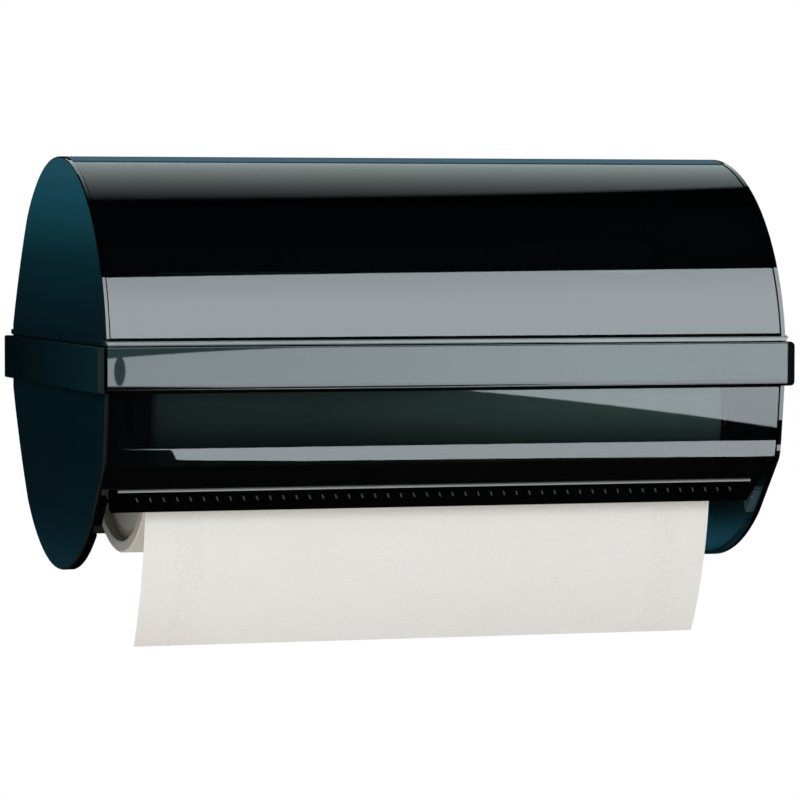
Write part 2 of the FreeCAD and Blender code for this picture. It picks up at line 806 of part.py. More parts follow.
def latch_pin():
    """The sprung pin behind the button; its tip is drawn just short of the button and the panel."""
    tip_x = button_inner_x - latch_tip_gap
    collar_end = ear_inner_x - latch_collar_gap
    pin = rod(collar_end, tip_x, button_y, button_z, latch_pin_radius)
    rim = edges_where(pin, lambda box: box.XMin > tip_x - near)
    pin = pin.makeFillet(latch_dome, rim)
    collar = rod(collar_end - latch_collar_wall, collar_end, button_y, button_z, latch_collar_radius)
    return joined(pin, collar)


# Springs

def coil(x0, x1, y, z, radius, wire, turns):
    """One unbroken round wire wound along X, in arcs of a quarter turn each."""
    steps = turns * 4
    places = []
    for number in range(2 * steps + 1):
        turn = math.pi * number / 4
        x = x0 + (x1 - x0) * number / (2 * steps)
        places.append(point(x, y + radius * math.cos(turn), z + radius * math.sin(turn)))
    arcs = [Part.Arc(places[2 * n], places[2 * n + 1], places[2 * n + 2]).toShape() for n in range(steps)]
    path = Part.Wire(arcs)
    start = arcs[0].tangentAt(arcs[0].FirstParameter)
    section = Part.Wire(Part.makeCircle(wire, places[0], start))
    spring = path.makePipeShell([section], True, False)
    pitch = abs(x1 - x0) / turns
    print("coil gap", round(pitch - 2 * wire, 2), "volume", round(spring.Volume, 1),
          "of", round(math.pi * wire ** 2 * path.Length, 1))
    return spring


def latch_spring():
    start = ear_inner_x - cup_depth + latch_spring_wire
    end = ear_inner_x - latch_collar_gap - latch_collar_wall - latch_spring_wire
    return coil(start, end, button_y, button_z, latch_spring_radius, latch_spring_wire, latch_spring_turns)


def hub_spring():
    start = hub_flange_back_x + hub_spring_wire
    end = hub_base_x - hub_spring_wire
    return coil(start, end, roll_y, roll_z, hub_spring_radius, hub_spring_wire, hub_spring_turns)


# Paper roll and its hubs

def hub_nose(direction):
    """The flanged nose that enters the core; direction is the end of the drum that it stands at."""
    nose = rod(nose_tip_x, hub_flange_x, roll_y, roll_z, nose_radius)
    tip = edges_where(nose, lambda box: box.XMax < nose_tip_x + near)
    nose = nose.makeChamfer(hub_tip_chamfer, tip)
    flange = rod(hub_flange_x, hub_flange_back_x, roll_y, roll_z, hub_flange_radius)
    hub = joined(nose, flange)
    return hub if direction > 0 else mirrored(hub)


def hub_base():
    base = rod(hub_base_x, panel_inner_x, roll_y, roll_z, hub_base_radius)
    for y, z in hub_screw_places():
        base = base.cut(screw_hole_x(0, far, y, z))
    return base


def fixed_hub():
    hub = hub_nose(1)
    post = tube(hub_flange_back_x, panel_inner_x, roll_y, roll_z, hub_tube_radius,
                hub_tube_radius - hub_tube_wall)
    hub = joined(hub, post, hub_base())
    return mirrored(hub)


def hub_housing():
    guide = tube(hub_guide_x, hub_base_x, roll_y, roll_z, hub_guide_radius, hub_guide_bore)
    neck = tube(hub_guide_x, hub_neck_end_x, roll_y, roll_z, hub_guide_radius,
                hub_stem_radius + hub_stem_clearance)
    skirt = tube(hub_base_x - hub_skirt_length, hub_base_x, roll_y, roll_z,
                 hub_skirt_radius, hub_skirt_radius - hub_skirt_wall)
    return joined(hub_base(), guide, neck, skirt)


def sprung_hub():
    stem = rod(hub_flange_back_x, hub_collar_x, roll_y, roll_z, hub_stem_radius)
    collar = rod(hub_collar_x, hub_collar_x + hub_collar_wall, roll_y, roll_z, hub_collar_radius)
    return joined(hub_nose(1), stem, collar)


def hub_screws():
    screws = [screw_x(hub_base_x, drum_half_width - screw_tip_cover, y, z) for y, z in hub_screw_places()]
    return screws + [mirrored(screw) for screw in screws]


def roll_core():
    return tube(-roll_half_width, roll_half_width, roll_y, roll_z, core_outer_radius, core_bore_radius)


def paper_roll():
    """The wound paper; its outer layers stand out past the rest at the left end."""
    paper = tube(-roll_half_width, roll_half_width, roll_y, roll_z, roll_radius, core_outer_radius)
    step = rod(-roll_half_width, -roll_half_width + roll_ring_step, roll_y, roll_z,
               roll_radius - roll_ring_wall)
    return paper.cut(step)


# Hanging sheet

def hanging_sheet():
    """A strip of constant thickness along three arcs: round the roll, over the bend, and down."""
    turn = math.radians(sheet_start_angle)
    radius = roll_radius + sheet_roll_gap + sheet_wall / 2
    place = point(0, roll_y - radius * math.cos(turn), roll_z + radius * math.sin(turn))
    heading = -sheet_start_angle
    half = sheet_wall / 2
    runs = [(radius, sheet_start_angle - sheet_leave_angle), (sheet_bend_radius, sheet_bend_angle),
            (sheet_hang_radius, sheet_hang_angle)]
    sides = ([], [])
    for radius, degrees in runs:
        sign = 1 if degrees > 0 else -1
        centre = place + inward(heading) * radius * sign
        for side, reach in zip(sides, (radius + half, radius - half)):
            arm = reach if sign > 0 else 2 * radius - reach
            marks = [centre - inward(heading + degrees * part) * arm * sign for part in (0, 0.5, 1)]
            side.append(Part.Arc(*marks).toShape())
        place = centre - inward(heading + degrees) * radius * sign
        heading += degrees
    outer, inner = sides
    ends = [Part.makeLine(outer[-1].Vertexes[-1].Point, inner[-1].Vertexes[-1].Point),
            Part.makeLine(inner[0].Vertexes[0].Point, outer[0].Vertexes[0].Point)]
    wire = Part.Wire(Part.__sortEdges__(outer + inner + ends))
    face = Part.Face(wire)
    face.translate(point(-sheet_half_width, 0, 0))
    length = sum(radius * math.radians(abs(degrees)) for radius, degrees in runs)
    print("sheet", 2 * sheet_half_width, "x", round(length, 1), "lower edge z", round(place.z, 1))
    return face.extrude(point(2 * sheet_half_width, 0, 0))


def inward(heading):
    """The direction towards the wall side of a sheet that runs down at this angle from plumb."""
    turn = math.radians(heading)
    return point(0, math.cos(turn), math.sin(turn))


def main():
    os.makedirs("parts", exist_ok=True)
    panel = end_panel()
    belt = side_belt()
    end = belt_end()
    boss = bar_boss()
    bracket = plate_bracket()
    arm = ear()
    cup = latch_cup()
    pin = latch_pin()
    spring = latch_spring()
    button = release_button()
    save("back_plate", back_plate())
    save("left_plate_bracket", mirrored(bracket))
    save("right_plate_bracket", bracket)
    save("plate_screws", *plate_screws())
    save("hinge_lugs", *[hinge_lug(x) for x in (-hinge_spacing, 0, hinge_spacing)])
    save("left_end_panel", mirrored(panel))
    save("right_end_panel", panel)
    save("left_side_belt", mirrored(belt))
    save("right_side_belt", belt)
    save("left_belt_end", mirrored(end))
    save("right_belt_end", end)
    save("side_screws", *side_screws())
    save("tear_bar", tear_bar())
    save("tear_blade", tear_blade())
    save("left_bar_boss", mirrored(boss))
    save("right_bar_boss", boss)
    save("bar_pins", *bar_pins())
    save("hinge_rod", hinge_rod())
    save("fixed_hub", fixed_hub())
    save("hub_housing", hub_housing())
    save("hub_screws", *hub_screws())
    save("hub_spring", hub_spring())
    save("sprung_hub", sprung_hub())
    save("hanging_sheet", hanging_sheet())
    save("top_shell", top_shell())
    save("upper_cover", upper_cover())
    save("lower_cover", lower_cover())
    save("cover_belt", cover_belt())
    save("belt_lip", belt_lip())
    save("belt_screws", *belt_screws())
    save("left_ear", mirrored(arm))
    save("right_ear", arm)
    save("left_latch_cup", mirrored(cup))
    save("right_latch_cup", cup)
    save("left_latch_spring", mirrored(spring))
    save("right_latch_spring", spring)
    save("left_latch_pin", mirrored(pin))
    save("right_latch_pin", pin)
    save("left_button", mirrored(button))
    save("right_button", button)
    save("roll_core", roll_core())
    save("paper_roll", paper_roll())


main()
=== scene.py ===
import math

import bmesh
import bpy
from mathutils import Matrix, Vector


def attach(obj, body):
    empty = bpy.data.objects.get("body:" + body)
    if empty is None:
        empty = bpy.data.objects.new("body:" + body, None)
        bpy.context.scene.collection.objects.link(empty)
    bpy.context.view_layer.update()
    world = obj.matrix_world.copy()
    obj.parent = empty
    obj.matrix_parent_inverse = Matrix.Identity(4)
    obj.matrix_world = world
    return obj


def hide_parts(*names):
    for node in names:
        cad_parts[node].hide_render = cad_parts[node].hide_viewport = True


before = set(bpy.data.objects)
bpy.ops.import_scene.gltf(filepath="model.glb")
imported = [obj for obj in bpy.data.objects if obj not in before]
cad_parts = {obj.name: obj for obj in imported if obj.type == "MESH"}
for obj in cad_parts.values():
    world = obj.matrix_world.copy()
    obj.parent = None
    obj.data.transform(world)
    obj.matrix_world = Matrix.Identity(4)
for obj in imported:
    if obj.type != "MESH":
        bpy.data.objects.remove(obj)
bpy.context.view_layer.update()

mm = 0.001
axisY = -132 * mm  # the drum's axis stands this far out from the wall


# Materials

class Shading:
    # a node tree, with the few steps that the looks are built from
    def __init__(self, tree):
        self.nodes = tree.nodes
        self.links = tree.links
        self.shader = self.nodes.get("Principled BSDF")

    def put(self, socket, value):
        # a socket takes a plain value or another node's output
        if isinstance(value, bpy.types.NodeSocket):
            self.links.new(value, socket)
        else:
            socket.default_value = value

    def set(self, name, value):
        self.put(self.shader.inputs[name], value)

    def surface(self, value):
        self.put(self.nodes["Material Output"].inputs["Surface"], value)

    def add(self, kind, inputs, output=0, **settings):
        # adds a node and gives one of its outputs
        node = self.nodes.new("ShaderNode" + kind)
        for name, value in settings.items():
            setattr(node, name, value)
        for name, value in inputs.items():
            self.put(node.inputs[name], value)
        return node.outputs[output]

    def space(self, scale=(1, 1, 1), turn=(0, 0, 0), move=(0, 0, 0)):
        coords = self.add("TexCoord", {}, "Object")
        return self.add("Mapping", {"Vector": coords, "Scale": scale, "Rotation": turn, "Location": move})

    def part(self, space, axis):
        return self.add("SeparateXYZ", {"Vector": space}, axis)

    def length(self, space):
        return self.add("VectorMath", {0: space}, "Value", operation="LENGTH")

    def maths(self, operation, first, second):
        return self.add("Math", {0: first, 1: second}, operation=operation)

    def scaled(self, value, factor, offset=0):
        return self.add("Math", {0: value, 1: factor, 2: offset}, operation="MULTIPLY_ADD")

    def between(self, value, start, stop, low=0, high=1, **settings):
        # runs from low to high while the value goes from start to stop
        inputs = {"Value": value, "From Min": start, "From Max": stop, "To Min": low, "To Max": high}
        return self.add("MapRange", inputs, **settings)

    def spread(self, factor, low, high):
        return self.between(factor, 0, 1, low, high)

    def byAxis(self, axis, start, stop, low=0, high=1):
        # the same between two places on an axis, in millimetres
        return self.between(self.part(self.space(), axis), start * mm, stop * mm, low, high)

    def noise(self, space, size, detail=3, roughness=0.5):
        inputs = {"Vector": space, "Scale": size, "Detail": detail, "Roughness": roughness}
        return self.add("TexNoise", inputs)

    def ramp(self, factor, stops):
        node = self.nodes.new("ShaderNodeValToRGB")
        marks = node.color_ramp.elements
        while len(marks) < len(stops):
            marks.new(0.5)
        for mark, (spot, colour) in zip(marks, stops):
            mark.position = spot
            mark.color = (*colour, 1)
        self.put(node.inputs["Fac"], factor)
        return node.outputs["Color"]

    def shadesByAxis(self, axis, low, high, shades):
        # colours given at places on an axis, in millimetres
        stops = [((spot - low) / (high - low), shade) for spot, shade in shades]
        return self.ramp(self.byAxis(axis, low, high), stops)

    def mixed(self, factor, first, second, blend="MIX"):
        inputs = {"Factor": factor, "A": first, "B": second}
        return self.add("Mix", inputs, "Result", data_type="RGBA", blend_type=blend)

    def multiplied(self, first, second):
        return self.mixed(1, first, second, "MULTIPLY")

    def bump(self, height, strength, depth):
        self.set("Normal", self.add("Bump", {"Height": height, "Strength": strength, "Distance": depth}))

    def cloudyRoughness(self, look):
        # a cloud varies the roughness, and may vary the colour too
        cloud = self.noise(self.space(**look.get("stretch", {})), *look["cloud"])
        if "rough" in look:
            self.set("Roughness", self.spread(cloud, *look["rough"]))
        return cloud

    def grain(self, look):
        size, strength, depth = look["grain"]
        self.bump(self.noise(self.space(), size, 2), strength, depth)


def grey(level):
    return (level, level, level)


def tinted(colour, amount):
    return tuple(min(1, part * amount) for part in colour)


black, white = grey(0), grey(1)


def newMaterial(name, look):
    material = bpy.data.materials.new(name)
    material.use_nodes = True
    shade = Shading(material.node_tree)
    shade.set("Base Color", (*look["colour"], 1))
    shade.set("Roughness", look.get("roughness", 0.4))
    shade.set("Metallic", look.get("metal", 0))
    shade.set("IOR", look.get("ior", 1.5))
    shade.set("Specular IOR Level", look.get("shine", 0.5))
    return material, shade


# clear plastics: cover is the share of light that a surface stops, and tint colours the rest
smokedLook = {"colour": (0.0008, 0.001, 0.0012), "shine": 0.95, "cover": 0.72, "tint": (0.85, 1, 1),
              "haze": (0.006, 0.016), "hazeSize": 9}
lowFrontLook = {**smokedLook, "cover": 0.5, "ior": 1.632}
glossEdgeLook = {**smokedLook, "cover": 1.0, "shine": 0.68}
smokedBackLook = {**smokedLook, "shine": 0.0, "cover": 0.8, "haze": (0.2, 0.4)}
# painted light and shade on the roll behind: the lower cover lets more through under the belt than at its
# crease, and least at its left end
lowBackLook = {**smokedBackLook, "clearUp": (-48, -20, 0.175, 0.54), "ends": (-200, 200),
               "clearAcross": [(-200, 0.15), (-184, 0.3), (-179, 0.78), (-80, 0.84), (40, 1.12), (200, 1.3)]}
lipLook = {**smokedLook, "colour": (0.1, 0.118, 0.12), "shine": 0.6, "cover": 0.95, "tint": (0.95, 1, 0.98)}
# the belt's colour is painted black below a height, as shade on its lower edge
beltLook = {**lipLook, "colour": (0.016, 0.03, 0.031), "paintedShadeBelow": (-9.3, -8.7)}


def smokedPlastic(name, look):
    # clear smoked plastic: polished outside, with a trace of wipe marks
    material, shade = newMaterial(name, look)
    cover = look["cover"]
    # painted light and shade: the clearness changes with height and across, so that the roll behind shows lit
    # and shaded
    if "clearUp" in look:
        levels = [(x, grey(level)) for x, level in look["clearAcross"]]
        across = shade.shadesByAxis("X", *look["ends"], levels)
        clearness = shade.maths("MULTIPLY", shade.byAxis("Z", *look["clearUp"]), across)
        cover = shade.scaled(clearness, -1, 1)
    clear = shade.add("BsdfTransparent", {"Color": (*look["tint"], 1)})
    shade.surface(shade.add("MixShader", {"Fac": cover, 1: clear, 2: shade.shader.outputs["BSDF"]}))
    haze = shade.noise(shade.space(scale=(0.6, 1, 1)), look["hazeSize"], 5)
    shade.set("Roughness", shade.spread(haze, *look["haze"]))
    base = shade.ramp(haze, [(0.3, look["colour"]), (0.7, tinted(look["colour"], 1.6))])
    # painted shade: black below a height
    if "paintedShadeBelow" in look:
        lit = shade.ramp(shade.byAxis("Z", *look["paintedShadeBelow"]), [(0, black), (1, white)])
        base = shade.multiplied(base, lit)
    shade.set("Base Color", base)
    return material


# plastics whose colour changes along an axis: reach is the axis and two places on it, in millimetres.
# Painted light and shade: the panels lighten from their lower part to the top, and the side belts towards the
# front
petrolLook = {"colour": (0.004, 0.02, 0.03), "shine": 0.1, "cloud": (14, 4), "rough": (0.17, 0.28),
              "grain": (2400, 0.25, 0.000004), "reach": ("Z", -125, 125),
              "shades": [(-117, (0.0045, 0.031, 0.042)), (-108, (0.003, 0.022, 0.031)),
                         (-84, (0.0017, 0.0137, 0.0197)), (-50, (0.001, 0.0125, 0.018)),
                         (-21, (0.001, 0.0135, 0.019)), (27, (0.002, 0.0165, 0.024)),
                         (46, (0.002, 0.0218, 0.0307)), (66, (0.003, 0.032, 0.045)),
                         (80, (0.006, 0.0558, 0.0752)), (99, (0.008, 0.0826, 0.118)),
                         (119, (0.019, 0.104, 0.148))]}
sideLook = {"colour": (0.0027, 0.0225, 0.029), "shine": 0.1, "cloud": (14, 4), "rough": (0.2, 0.32),
            "reach": ("Y", -255, -25),
            "shades": [(-255, (0.0027, 0.0225, 0.029)), (-25, (0.0007, 0.0062, 0.0095))]}
# the inner side of the panels and shell: painted light, as of light through the plastic, brightens it low
# down, and its rim is painted shade
insideLook = {"colour": (0.015, 0.12, 0.18), "shine": 0.05, "cloud": (20, 4), "rough": (0.34, 0.46),
              "reach": ("Z", -120, -86),
              "shades": [(-118, (0.02, 0.18, 0.27)), (-107, (0.012, 0.105, 0.165)),
                         (-101, (0.0065, 0.058, 0.09)), (-95, (0.003, 0.026, 0.041)),
                         (-88, (0.0012, 0.011, 0.016))],
              "rimFrom": 123.3, "rimTo": 123.7, "rim": (0.001, 0.0012, 0.0014)}


def shadedPlastic(name, look):
    # the colour along the axis is painted light and shade
    material, shade = newMaterial(name, look)
    colour = shade.shadesByAxis(*look["reach"], look["shades"])
    # painted shade: a dark rim on the inner side
    if "rim" in look:
        fromAxis = shade.length(shade.space(scale=(0, 1, 1), move=(0, -axisY, 0)))
        rim = shade.between(fromAxis, look["rimFrom"] * mm, look["rimTo"] * mm)
        colour = shade.mixed(rim, colour, (*look["rim"], 1))
    shade.set("Base Color", colour)
    shade.cloudyRoughness(look)
    if "grain" in look:
        shade.grain(look)
    return material


# litFrom and litTo bound the painted highlight along the outer side, and dark is painted shade
edgeLook = {"colour": (0.007, 0.0115, 0.011), "roughness": 0.55, "shine": 0.05,
            "pale": (0.012, 0.015, 0.0135), "grain": (160, 4), "grainStretch": 6, "depth": 0.00004,
            "litFrom": 210.1, "litTo": 210.5, "dark": (0.0008, 0.0009, 0.001)}


def sawnEdge():
    # the matt edges of the panels: a painted highlight along their outer side only, and painted shade
    # elsewhere
    material, shade = newMaterial("sawnEdge", edgeLook)
    grain = shade.noise(shade.space(scale=(edgeLook["grainStretch"], 1, 1)), *edgeLook["grain"])
    pale = shade.ramp(grain, [(0.3, edgeLook["colour"]), (0.7, edgeLook["pale"])])
    outer = shade.byAxis("X", -edgeLook["litTo"], -edgeLook["litFrom"])
    shade.set("Base Color", shade.mixed(outer, pale, (*edgeLook["dark"], 1)))
    shade.bump(grain, 0.3, edgeLook["depth"])
    return material


# the tear bar leans back by this angle; its front face is the zero of the depth below
lean = {"angle": 50.56, "front": 0.2256}


def depthInBar(shade):
    # distance behind the tear bar's front face, measured square to it
    return shade.part(shade.space(turn=(math.radians(lean["angle"]), 0, 0), move=(0, 0, lean["front"])), "Z")


# two tones divided by that depth, in metres: the bar's raised teeth are painted pale as a highlight on their
# flanks, and the blade's steel is black behind its bare front edge
barLook = {"colour": (0.0008, 0.0008, 0.0009), "second": (0.05, 0.053, 0.053), "depths": (-0.0002, -0.0006),
           "shine": 0.02, "cloud": (30, 4), "rough": (0.34, 0.48)}
bladeLook = {"colour": (0.30, 0.31, 0.31), "second": (0.004, 0.004, 0.004), "depths": (0.0009, 0.0012),
             "cloud": (900, 3), "stretch": {"scale": (0.05, 1, 1)}, "rough": (0.5, 0.7)}


def twoToneFinish(name, look):
    material, shade = newMaterial(name, look)
    behind = shade.between(depthInBar(shade), *look["depths"])
    shade.set("Base Color", shade.ramp(behind, [(0, look["colour"]), (1, look["second"])]))
    shade.cloudyRoughness(look)
    return material


# finishes with a cloud of two shades, which are given or are shares of the colour. Grain is the size,
# strength and depth of a bump, and ridges are the strength and depth of one that follows the cloud itself
# the top shell's light blue is painted light: the tone of the teal shell's lit top
hoodBlueLook = {"colour": (0.042, 0.128, 0.195), "shine": 0.03, "cloud": (10, 4), "rough": (0.4, 0.5),
                "shades": [(0.35, (0.037, 0.118, 0.18)), (0.65, (0.042, 0.128, 0.195))]}
# the front faces of the left side belt, the lit twin of the right belt's black front
facetLook = {"colour": (0.0065, 0.0135, 0.0115), "shine": 0.05, "cloud": (90, 3), "shares": (0.8, 1)}
blackLook = {"colour": (0.0007, 0.0007, 0.0008), "shine": 0.02, "cloud": (30, 4), "shares": (1, 1.8),
             "rough": (0.45, 0.6), "grain": (700, 0.3, 0.00001)}
plateLook = {"colour": (0.005, 0.0053, 0.0057), "shine": 0.1, "cloud": (12, 4), "shares": (1, 1.5),
             "rough": (0.36, 0.5), "grain": (1400, 0.25, 0.00002)}
# the right bar boss's lighter tone is painted light
bossLook = {"colour": (0.03, 0.065, 0.078), "shine": 0.2, "cloud": (60, 4), "shares": (0.85, 1),
            "rough": (0.3, 0.42)}
steelLook = {"colour": (0.55, 0.56, 0.57), "metal": 1, "stretch": {"scale": (0.05, 1, 1)}, "cloud": (1400, 3),
             "shares": (0.8, 1), "rough": (0.22, 0.38), "ridges": (0.2, 0.00002)}
springLook = {"colour": (0.32, 0.32, 0.33), "metal": 1, "cloud": (300, 3), "shares": (0.7, 1),
              "rough": (0.28, 0.45)}
hubLook = {"colour": (0.42, 0.42, 0.41), "cloud": (60, 4), "shares": (0.9, 1), "rough": (0.34, 0.5),
           "grain": (900, 0.2, 0.00002)}
boardLook = {"colour": (0.33, 0.25, 0.17), "roughness": 0.85, "cloud": (260, 5), "shares": (0.75, 1),
             "stretch": {"scale": (1, 1, 0.2), "turn": (math.radians(35), 0, 0)}, "ridges": (0.3, 0.0001)}


def cloudedFinish(name, look):
    material, shade = newMaterial(name, look)
    cloud = shade.cloudyRoughness(look)
    shades = look.get("shades")
    if not shades:
        first, second = (tinted(look["colour"], share) for share in look["shares"])
        shades = [(0.3, first), (0.7, second)]
    shade.set("Base Color", shade.ramp(cloud, shades))
    if "grain" in look:
        shade.grain(look)
    if "ridges" in look:
        shade.bump(cloud, *look["ridges"])
    return material


# painted shade: a warm, darker tone in the lower left corner, from and to x and from and to z in millimetres,
# and one under the bar, from and to z
sheetLook = {"colour": (0.79, 0.782, 0.752), "warm": (0.785, 0.765, 0.73), "roughness": 0.9, "sheen": 0.15,
             "crepe": (1100, 4, 0.6), "crepeStretch": 0.8, "hollowShade": (0.93, 0.925, 0.915), "depth": 0.00025,
             "dotPitch": 0.0018, "dot": (0.93, 0.9, 0.88), "bandInner": 0.141, "bandOuter": 0.16,
             "corner": (0.96, 0.925, 0.895), "cornerShadeAcross": (-180, -120), "cornerShadeUp": (-168, -138),
             "top": (0.965, 0.935, 0.905), "underBarShadeUp": (-92, -84)}


def crepePaper():
    # soft paper: fine crepe wrinkles across it, and a band of small pressed dots near each long edge
    material, shade = newMaterial("crepePaper", sheetLook)
    shade.set("Sheen Weight", sheetLook["sheen"])
    cloud = shade.noise(shade.space(), 18, 5)
    base = shade.ramp(cloud, [(0.35, sheetLook["warm"]), (0.6, sheetLook["colour"])])
    # painted shade: a warmer, darker tone in the lower left corner and under the bar
    left = shade.byAxis("X", *sheetLook["cornerShadeAcross"], 1, 0)
    corner = shade.maths("MULTIPLY", left, shade.byAxis("Z", *sheetLook["cornerShadeUp"], 1, 0))
    base = shade.multiplied(base, shade.ramp(corner, [(0, white), (0.8, sheetLook["corner"])]))
    top = shade.byAxis("Z", *sheetLook["underBarShadeUp"])
    base = shade.multiplied(base, shade.ramp(top, [(0, white), (1, sheetLook["top"])]))
    crepe = shade.noise(shade.space(scale=(sheetLook["crepeStretch"], 1, 1)), *sheetLook["crepe"])
    dots = shade.add("TexVoronoi", {"Vector": shade.space(scale=(1, 0, 1)), "Randomness": 0.3,
                                    "Scale": 1 / sheetLook["dotPitch"]}, "Distance")
    pressed = shade.ramp(dots, [(0.12, black), (0.3, white)])
    side = shade.add("Math", {0: shade.part(shade.space(), "X")}, operation="ABSOLUTE")
    band = shade.between(side, sheetLook["bandInner"], sheetLook["bandOuter"])
    inBand = shade.ramp(band, [(0, black), (0.08, white), (0.92, white), (1, black)])
    dotted = shade.mixed(inBand, (1, 1, 1, 1), pressed)
    relief = shade.multiplied(crepe, dotted)
    # painted shade: the hollows of the crepe are a little darker, and so are the dots
    hollows = shade.ramp(relief, [(0.25, sheetLook["hollowShade"]), (0.62, white)])
    marks = shade.ramp(dotted, [(0, sheetLook["dot"]), (1, white)])
    shade.set("Base Color", shade.multiplied(base, shade.multiplied(hollows, marks)))
    shade.bump(relief, 0.5, sheetLook["depth"])
    return material


rollLook = {"colour": (0.82, 0.79, 0.71), "shade": (0.72, 0.68, 0.59), "roughness": 0.92, "layers": 1500,
            "centre": (-151, -30), "reach": 0.084, "board": (0.84, 0.74, 0.62), "crepe": (700, 4),
            "crepeStretch": 0.35, "depth": 0.00006}


def woundPaper():
    # the roll: fine rings on its ends, where the layers show, and crepe round its face
    material, shade = newMaterial("woundPaper", rollLook)
    y, z = rollLook["centre"]
    fromAxis = shade.length(shade.space(scale=(0, 1, 1), move=(0, -y * mm, -z * mm)))
    rings = shade.add("TexNoise", {"W": fromAxis, "Scale": rollLook["layers"], "Detail": 2}, "Fac",
                      noise_dimensions="1D")
    wound = shade.ramp(rings, [(0.35, rollLook["shade"]), (0.65, rollLook["colour"])])
    # painted shade: a warm brown band just inside the step, where the step's shade falls
    board = rollLook["board"]
    turns = shade.ramp(shade.scaled(fromAxis, 1 / rollLook["reach"]),
                       [(0.83, white), (0.85, board), (0.905, board), (0.915, white)])
    shade.set("Base Color", shade.multiplied(wound, turns))
    crepe = shade.noise(shade.space(scale=(rollLook["crepeStretch"], 1, 1)), *rollLook["crepe"])
    shade.bump(crepe, 0.12, rollLook["depth"])
    return material


finishes = {
    "smoked": smokedPlastic("smokedPlastic", smokedLook), "back": smokedPlastic("smokedBack", smokedBackLook),
    "lowFront": smokedPlastic("lowFrontPlastic", lowFrontLook),
    "lowBack": smokedPlastic("smokedLowBack", lowBackLook),
    "gloss": smokedPlastic("glossEdge", glossEdgeLook),
    "belt": smokedPlastic("beltPlastic", beltLook), "lip": smokedPlastic("lipPlastic", lipLook),
    "petrol": shadedPlastic("petrolPlastic", petrolLook), "side": shadedPlastic("sidePlastic", sideLook),
    "inside": shadedPlastic("petrolInside", insideLook), "hood": cloudedFinish("hoodBlue", hoodBlueLook),
    "bar": twoToneFinish("barMoulding", barLook), "blade": twoToneFinish("bladeSteel", bladeLook),
    "facet": cloudedFinish("facetPlastic", facetLook), "black": cloudedFinish("blackMoulding", blackLook),
    "plate": cloudedFinish("plateCoat", plateLook), "boss": cloudedFinish("bossPlastic", bossLook),
    "steel": cloudedFinish("brushedSteel", steelLook), "wire": cloudedFinish("springWire", springLook),
    "hub": cloudedFinish("hubPlastic", hubLook), "board": cloudedFinish("coreBoard", boardLook),
    "edge": sawnEdge(), "sheet": crepePaper(), "roll": woundPaper()
}
print("finishes", len(finishes))


# Mesh helpers

def place(y, z, x=0.0):
    # a point given in millimetres from the drum's axis
    return Vector((x * mm, y * mm + axisY, z * mm))


class Path:
    # draws a section: lines are pulled out and arcs are spun, one after another
    def __init__(self, bm, start, x):
        self.bm = bm
        self.x = x
        self.end = bm.verts.new(place(*start, x))
        self.first = self.end

    def step(self, co):
        self.end = bmesh.ops.extrude_vert_indiv(self.bm, verts=[self.end])["verts"][0]
        self.end.co = co

    def line(self, y, z):
        self.step(place(y, z, self.x))

    def flat(self, y, z, strip=0.5):
        # a line with a narrow strip at each end, which keeps the shading between them flat
        start = Vector(((self.end.co.y - axisY) / mm, self.end.co.z / mm))
        run = Vector((y, z)) - start
        edge = run.normalized() * strip
        for point in (start + edge, start + run - edge, start + run):
            self.line(*point)

    def arc(self, centre, degrees, steps):
        made = bmesh.ops.spin(self.bm, geom=[self.end], cent=place(*centre, self.x), axis=(1, 0, 0),
                              angle=math.radians(degrees), steps=steps)
        self.end = [part for part in made["geom_last"] if isinstance(part, bmesh.types.BMVert)][0]

    def close(self):
        self.bm.edges.new((self.end, self.first))


def arcThrough(a, b, c):
    # the centre of the circle through three points of the section, and the turn from the first to the last
    d = 2 * (a[0] * (b[1] - c[1]) + b[0] * (c[1] - a[1]) + c[0] * (a[1] - b[1]))
    sa, sb, sc = (point[0] ** 2 + point[1] ** 2 for point in (a, b, c))
    centre = ((sa * (b[1] - c[1]) + sb * (c[1] - a[1]) + sc * (a[1] - b[1])) / d,
              (sa * (c[0] - b[0]) + sb * (a[0] - c[0]) + sc * (b[0] - a[0])) / d)
    first, last = (math.atan2(point[1] - centre[1], point[0] - centre[0]) for point in (a, c))
    return centre, (math.degrees(last - first) + 180) % 360 - 180


def onDrum(radius, degrees):
    turn = math.radians(degrees)
    return (-radius * math.cos(turn), radius * math.sin(turn))


def finishMesh(bm, name, looks, smoothAngle=20):
    mesh = bpy.data.meshes.new(name)
    bm.to_mesh(mesh)
    bm.free()
    for look in looks:
        mesh.materials.append(finishes[look])
    mesh.shade_smooth()
    mesh.set_sharp_from_angle(angle=math.radians(smoothAngle))
    piece = bpy.data.objects.new(name, mesh)
    bpy.context.scene.collection.objects.link(piece)
    return piece


def settle(piece, body, nodes):
    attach(piece, body)
    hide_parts(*nodes)
    return piece


def addTo(bm, other):
    # adds another bmesh to the piece's own, and frees it
    temp = bpy.data.meshes.new("part")
    other.to_mesh(temp)
    other.free()
    bm.from_mesh(temp)
    bpy.data.meshes.remove(temp)


def bevelled(bm, edges, width, segments=2, clamp=False):
    bmesh.ops.bevel(bm, geom=edges, offset=width * mm, affect="EDGES", segments=segments, profile=0.5,
                    material=-1, clamp_overlap=clamp)


def softenEdges(bm, width, segments=2, limit=35):
    # rounds every edge sharper than the limit
    sharp = [edge for edge in bm.edges if edge.is_manifold and edge.calc_face_angle(0) > math.radians(limit)]
    bevelled(bm, sharp, width, segments, clamp=True)


def moveMade(bm, made, length):
    # moves what an extrude has made along the drum
    moved = [part for part in made["geom"] if isinstance(part, bmesh.types.BMVert)]
    bmesh.ops.translate(bm, verts=moved, vec=(length * mm, 0, 0))


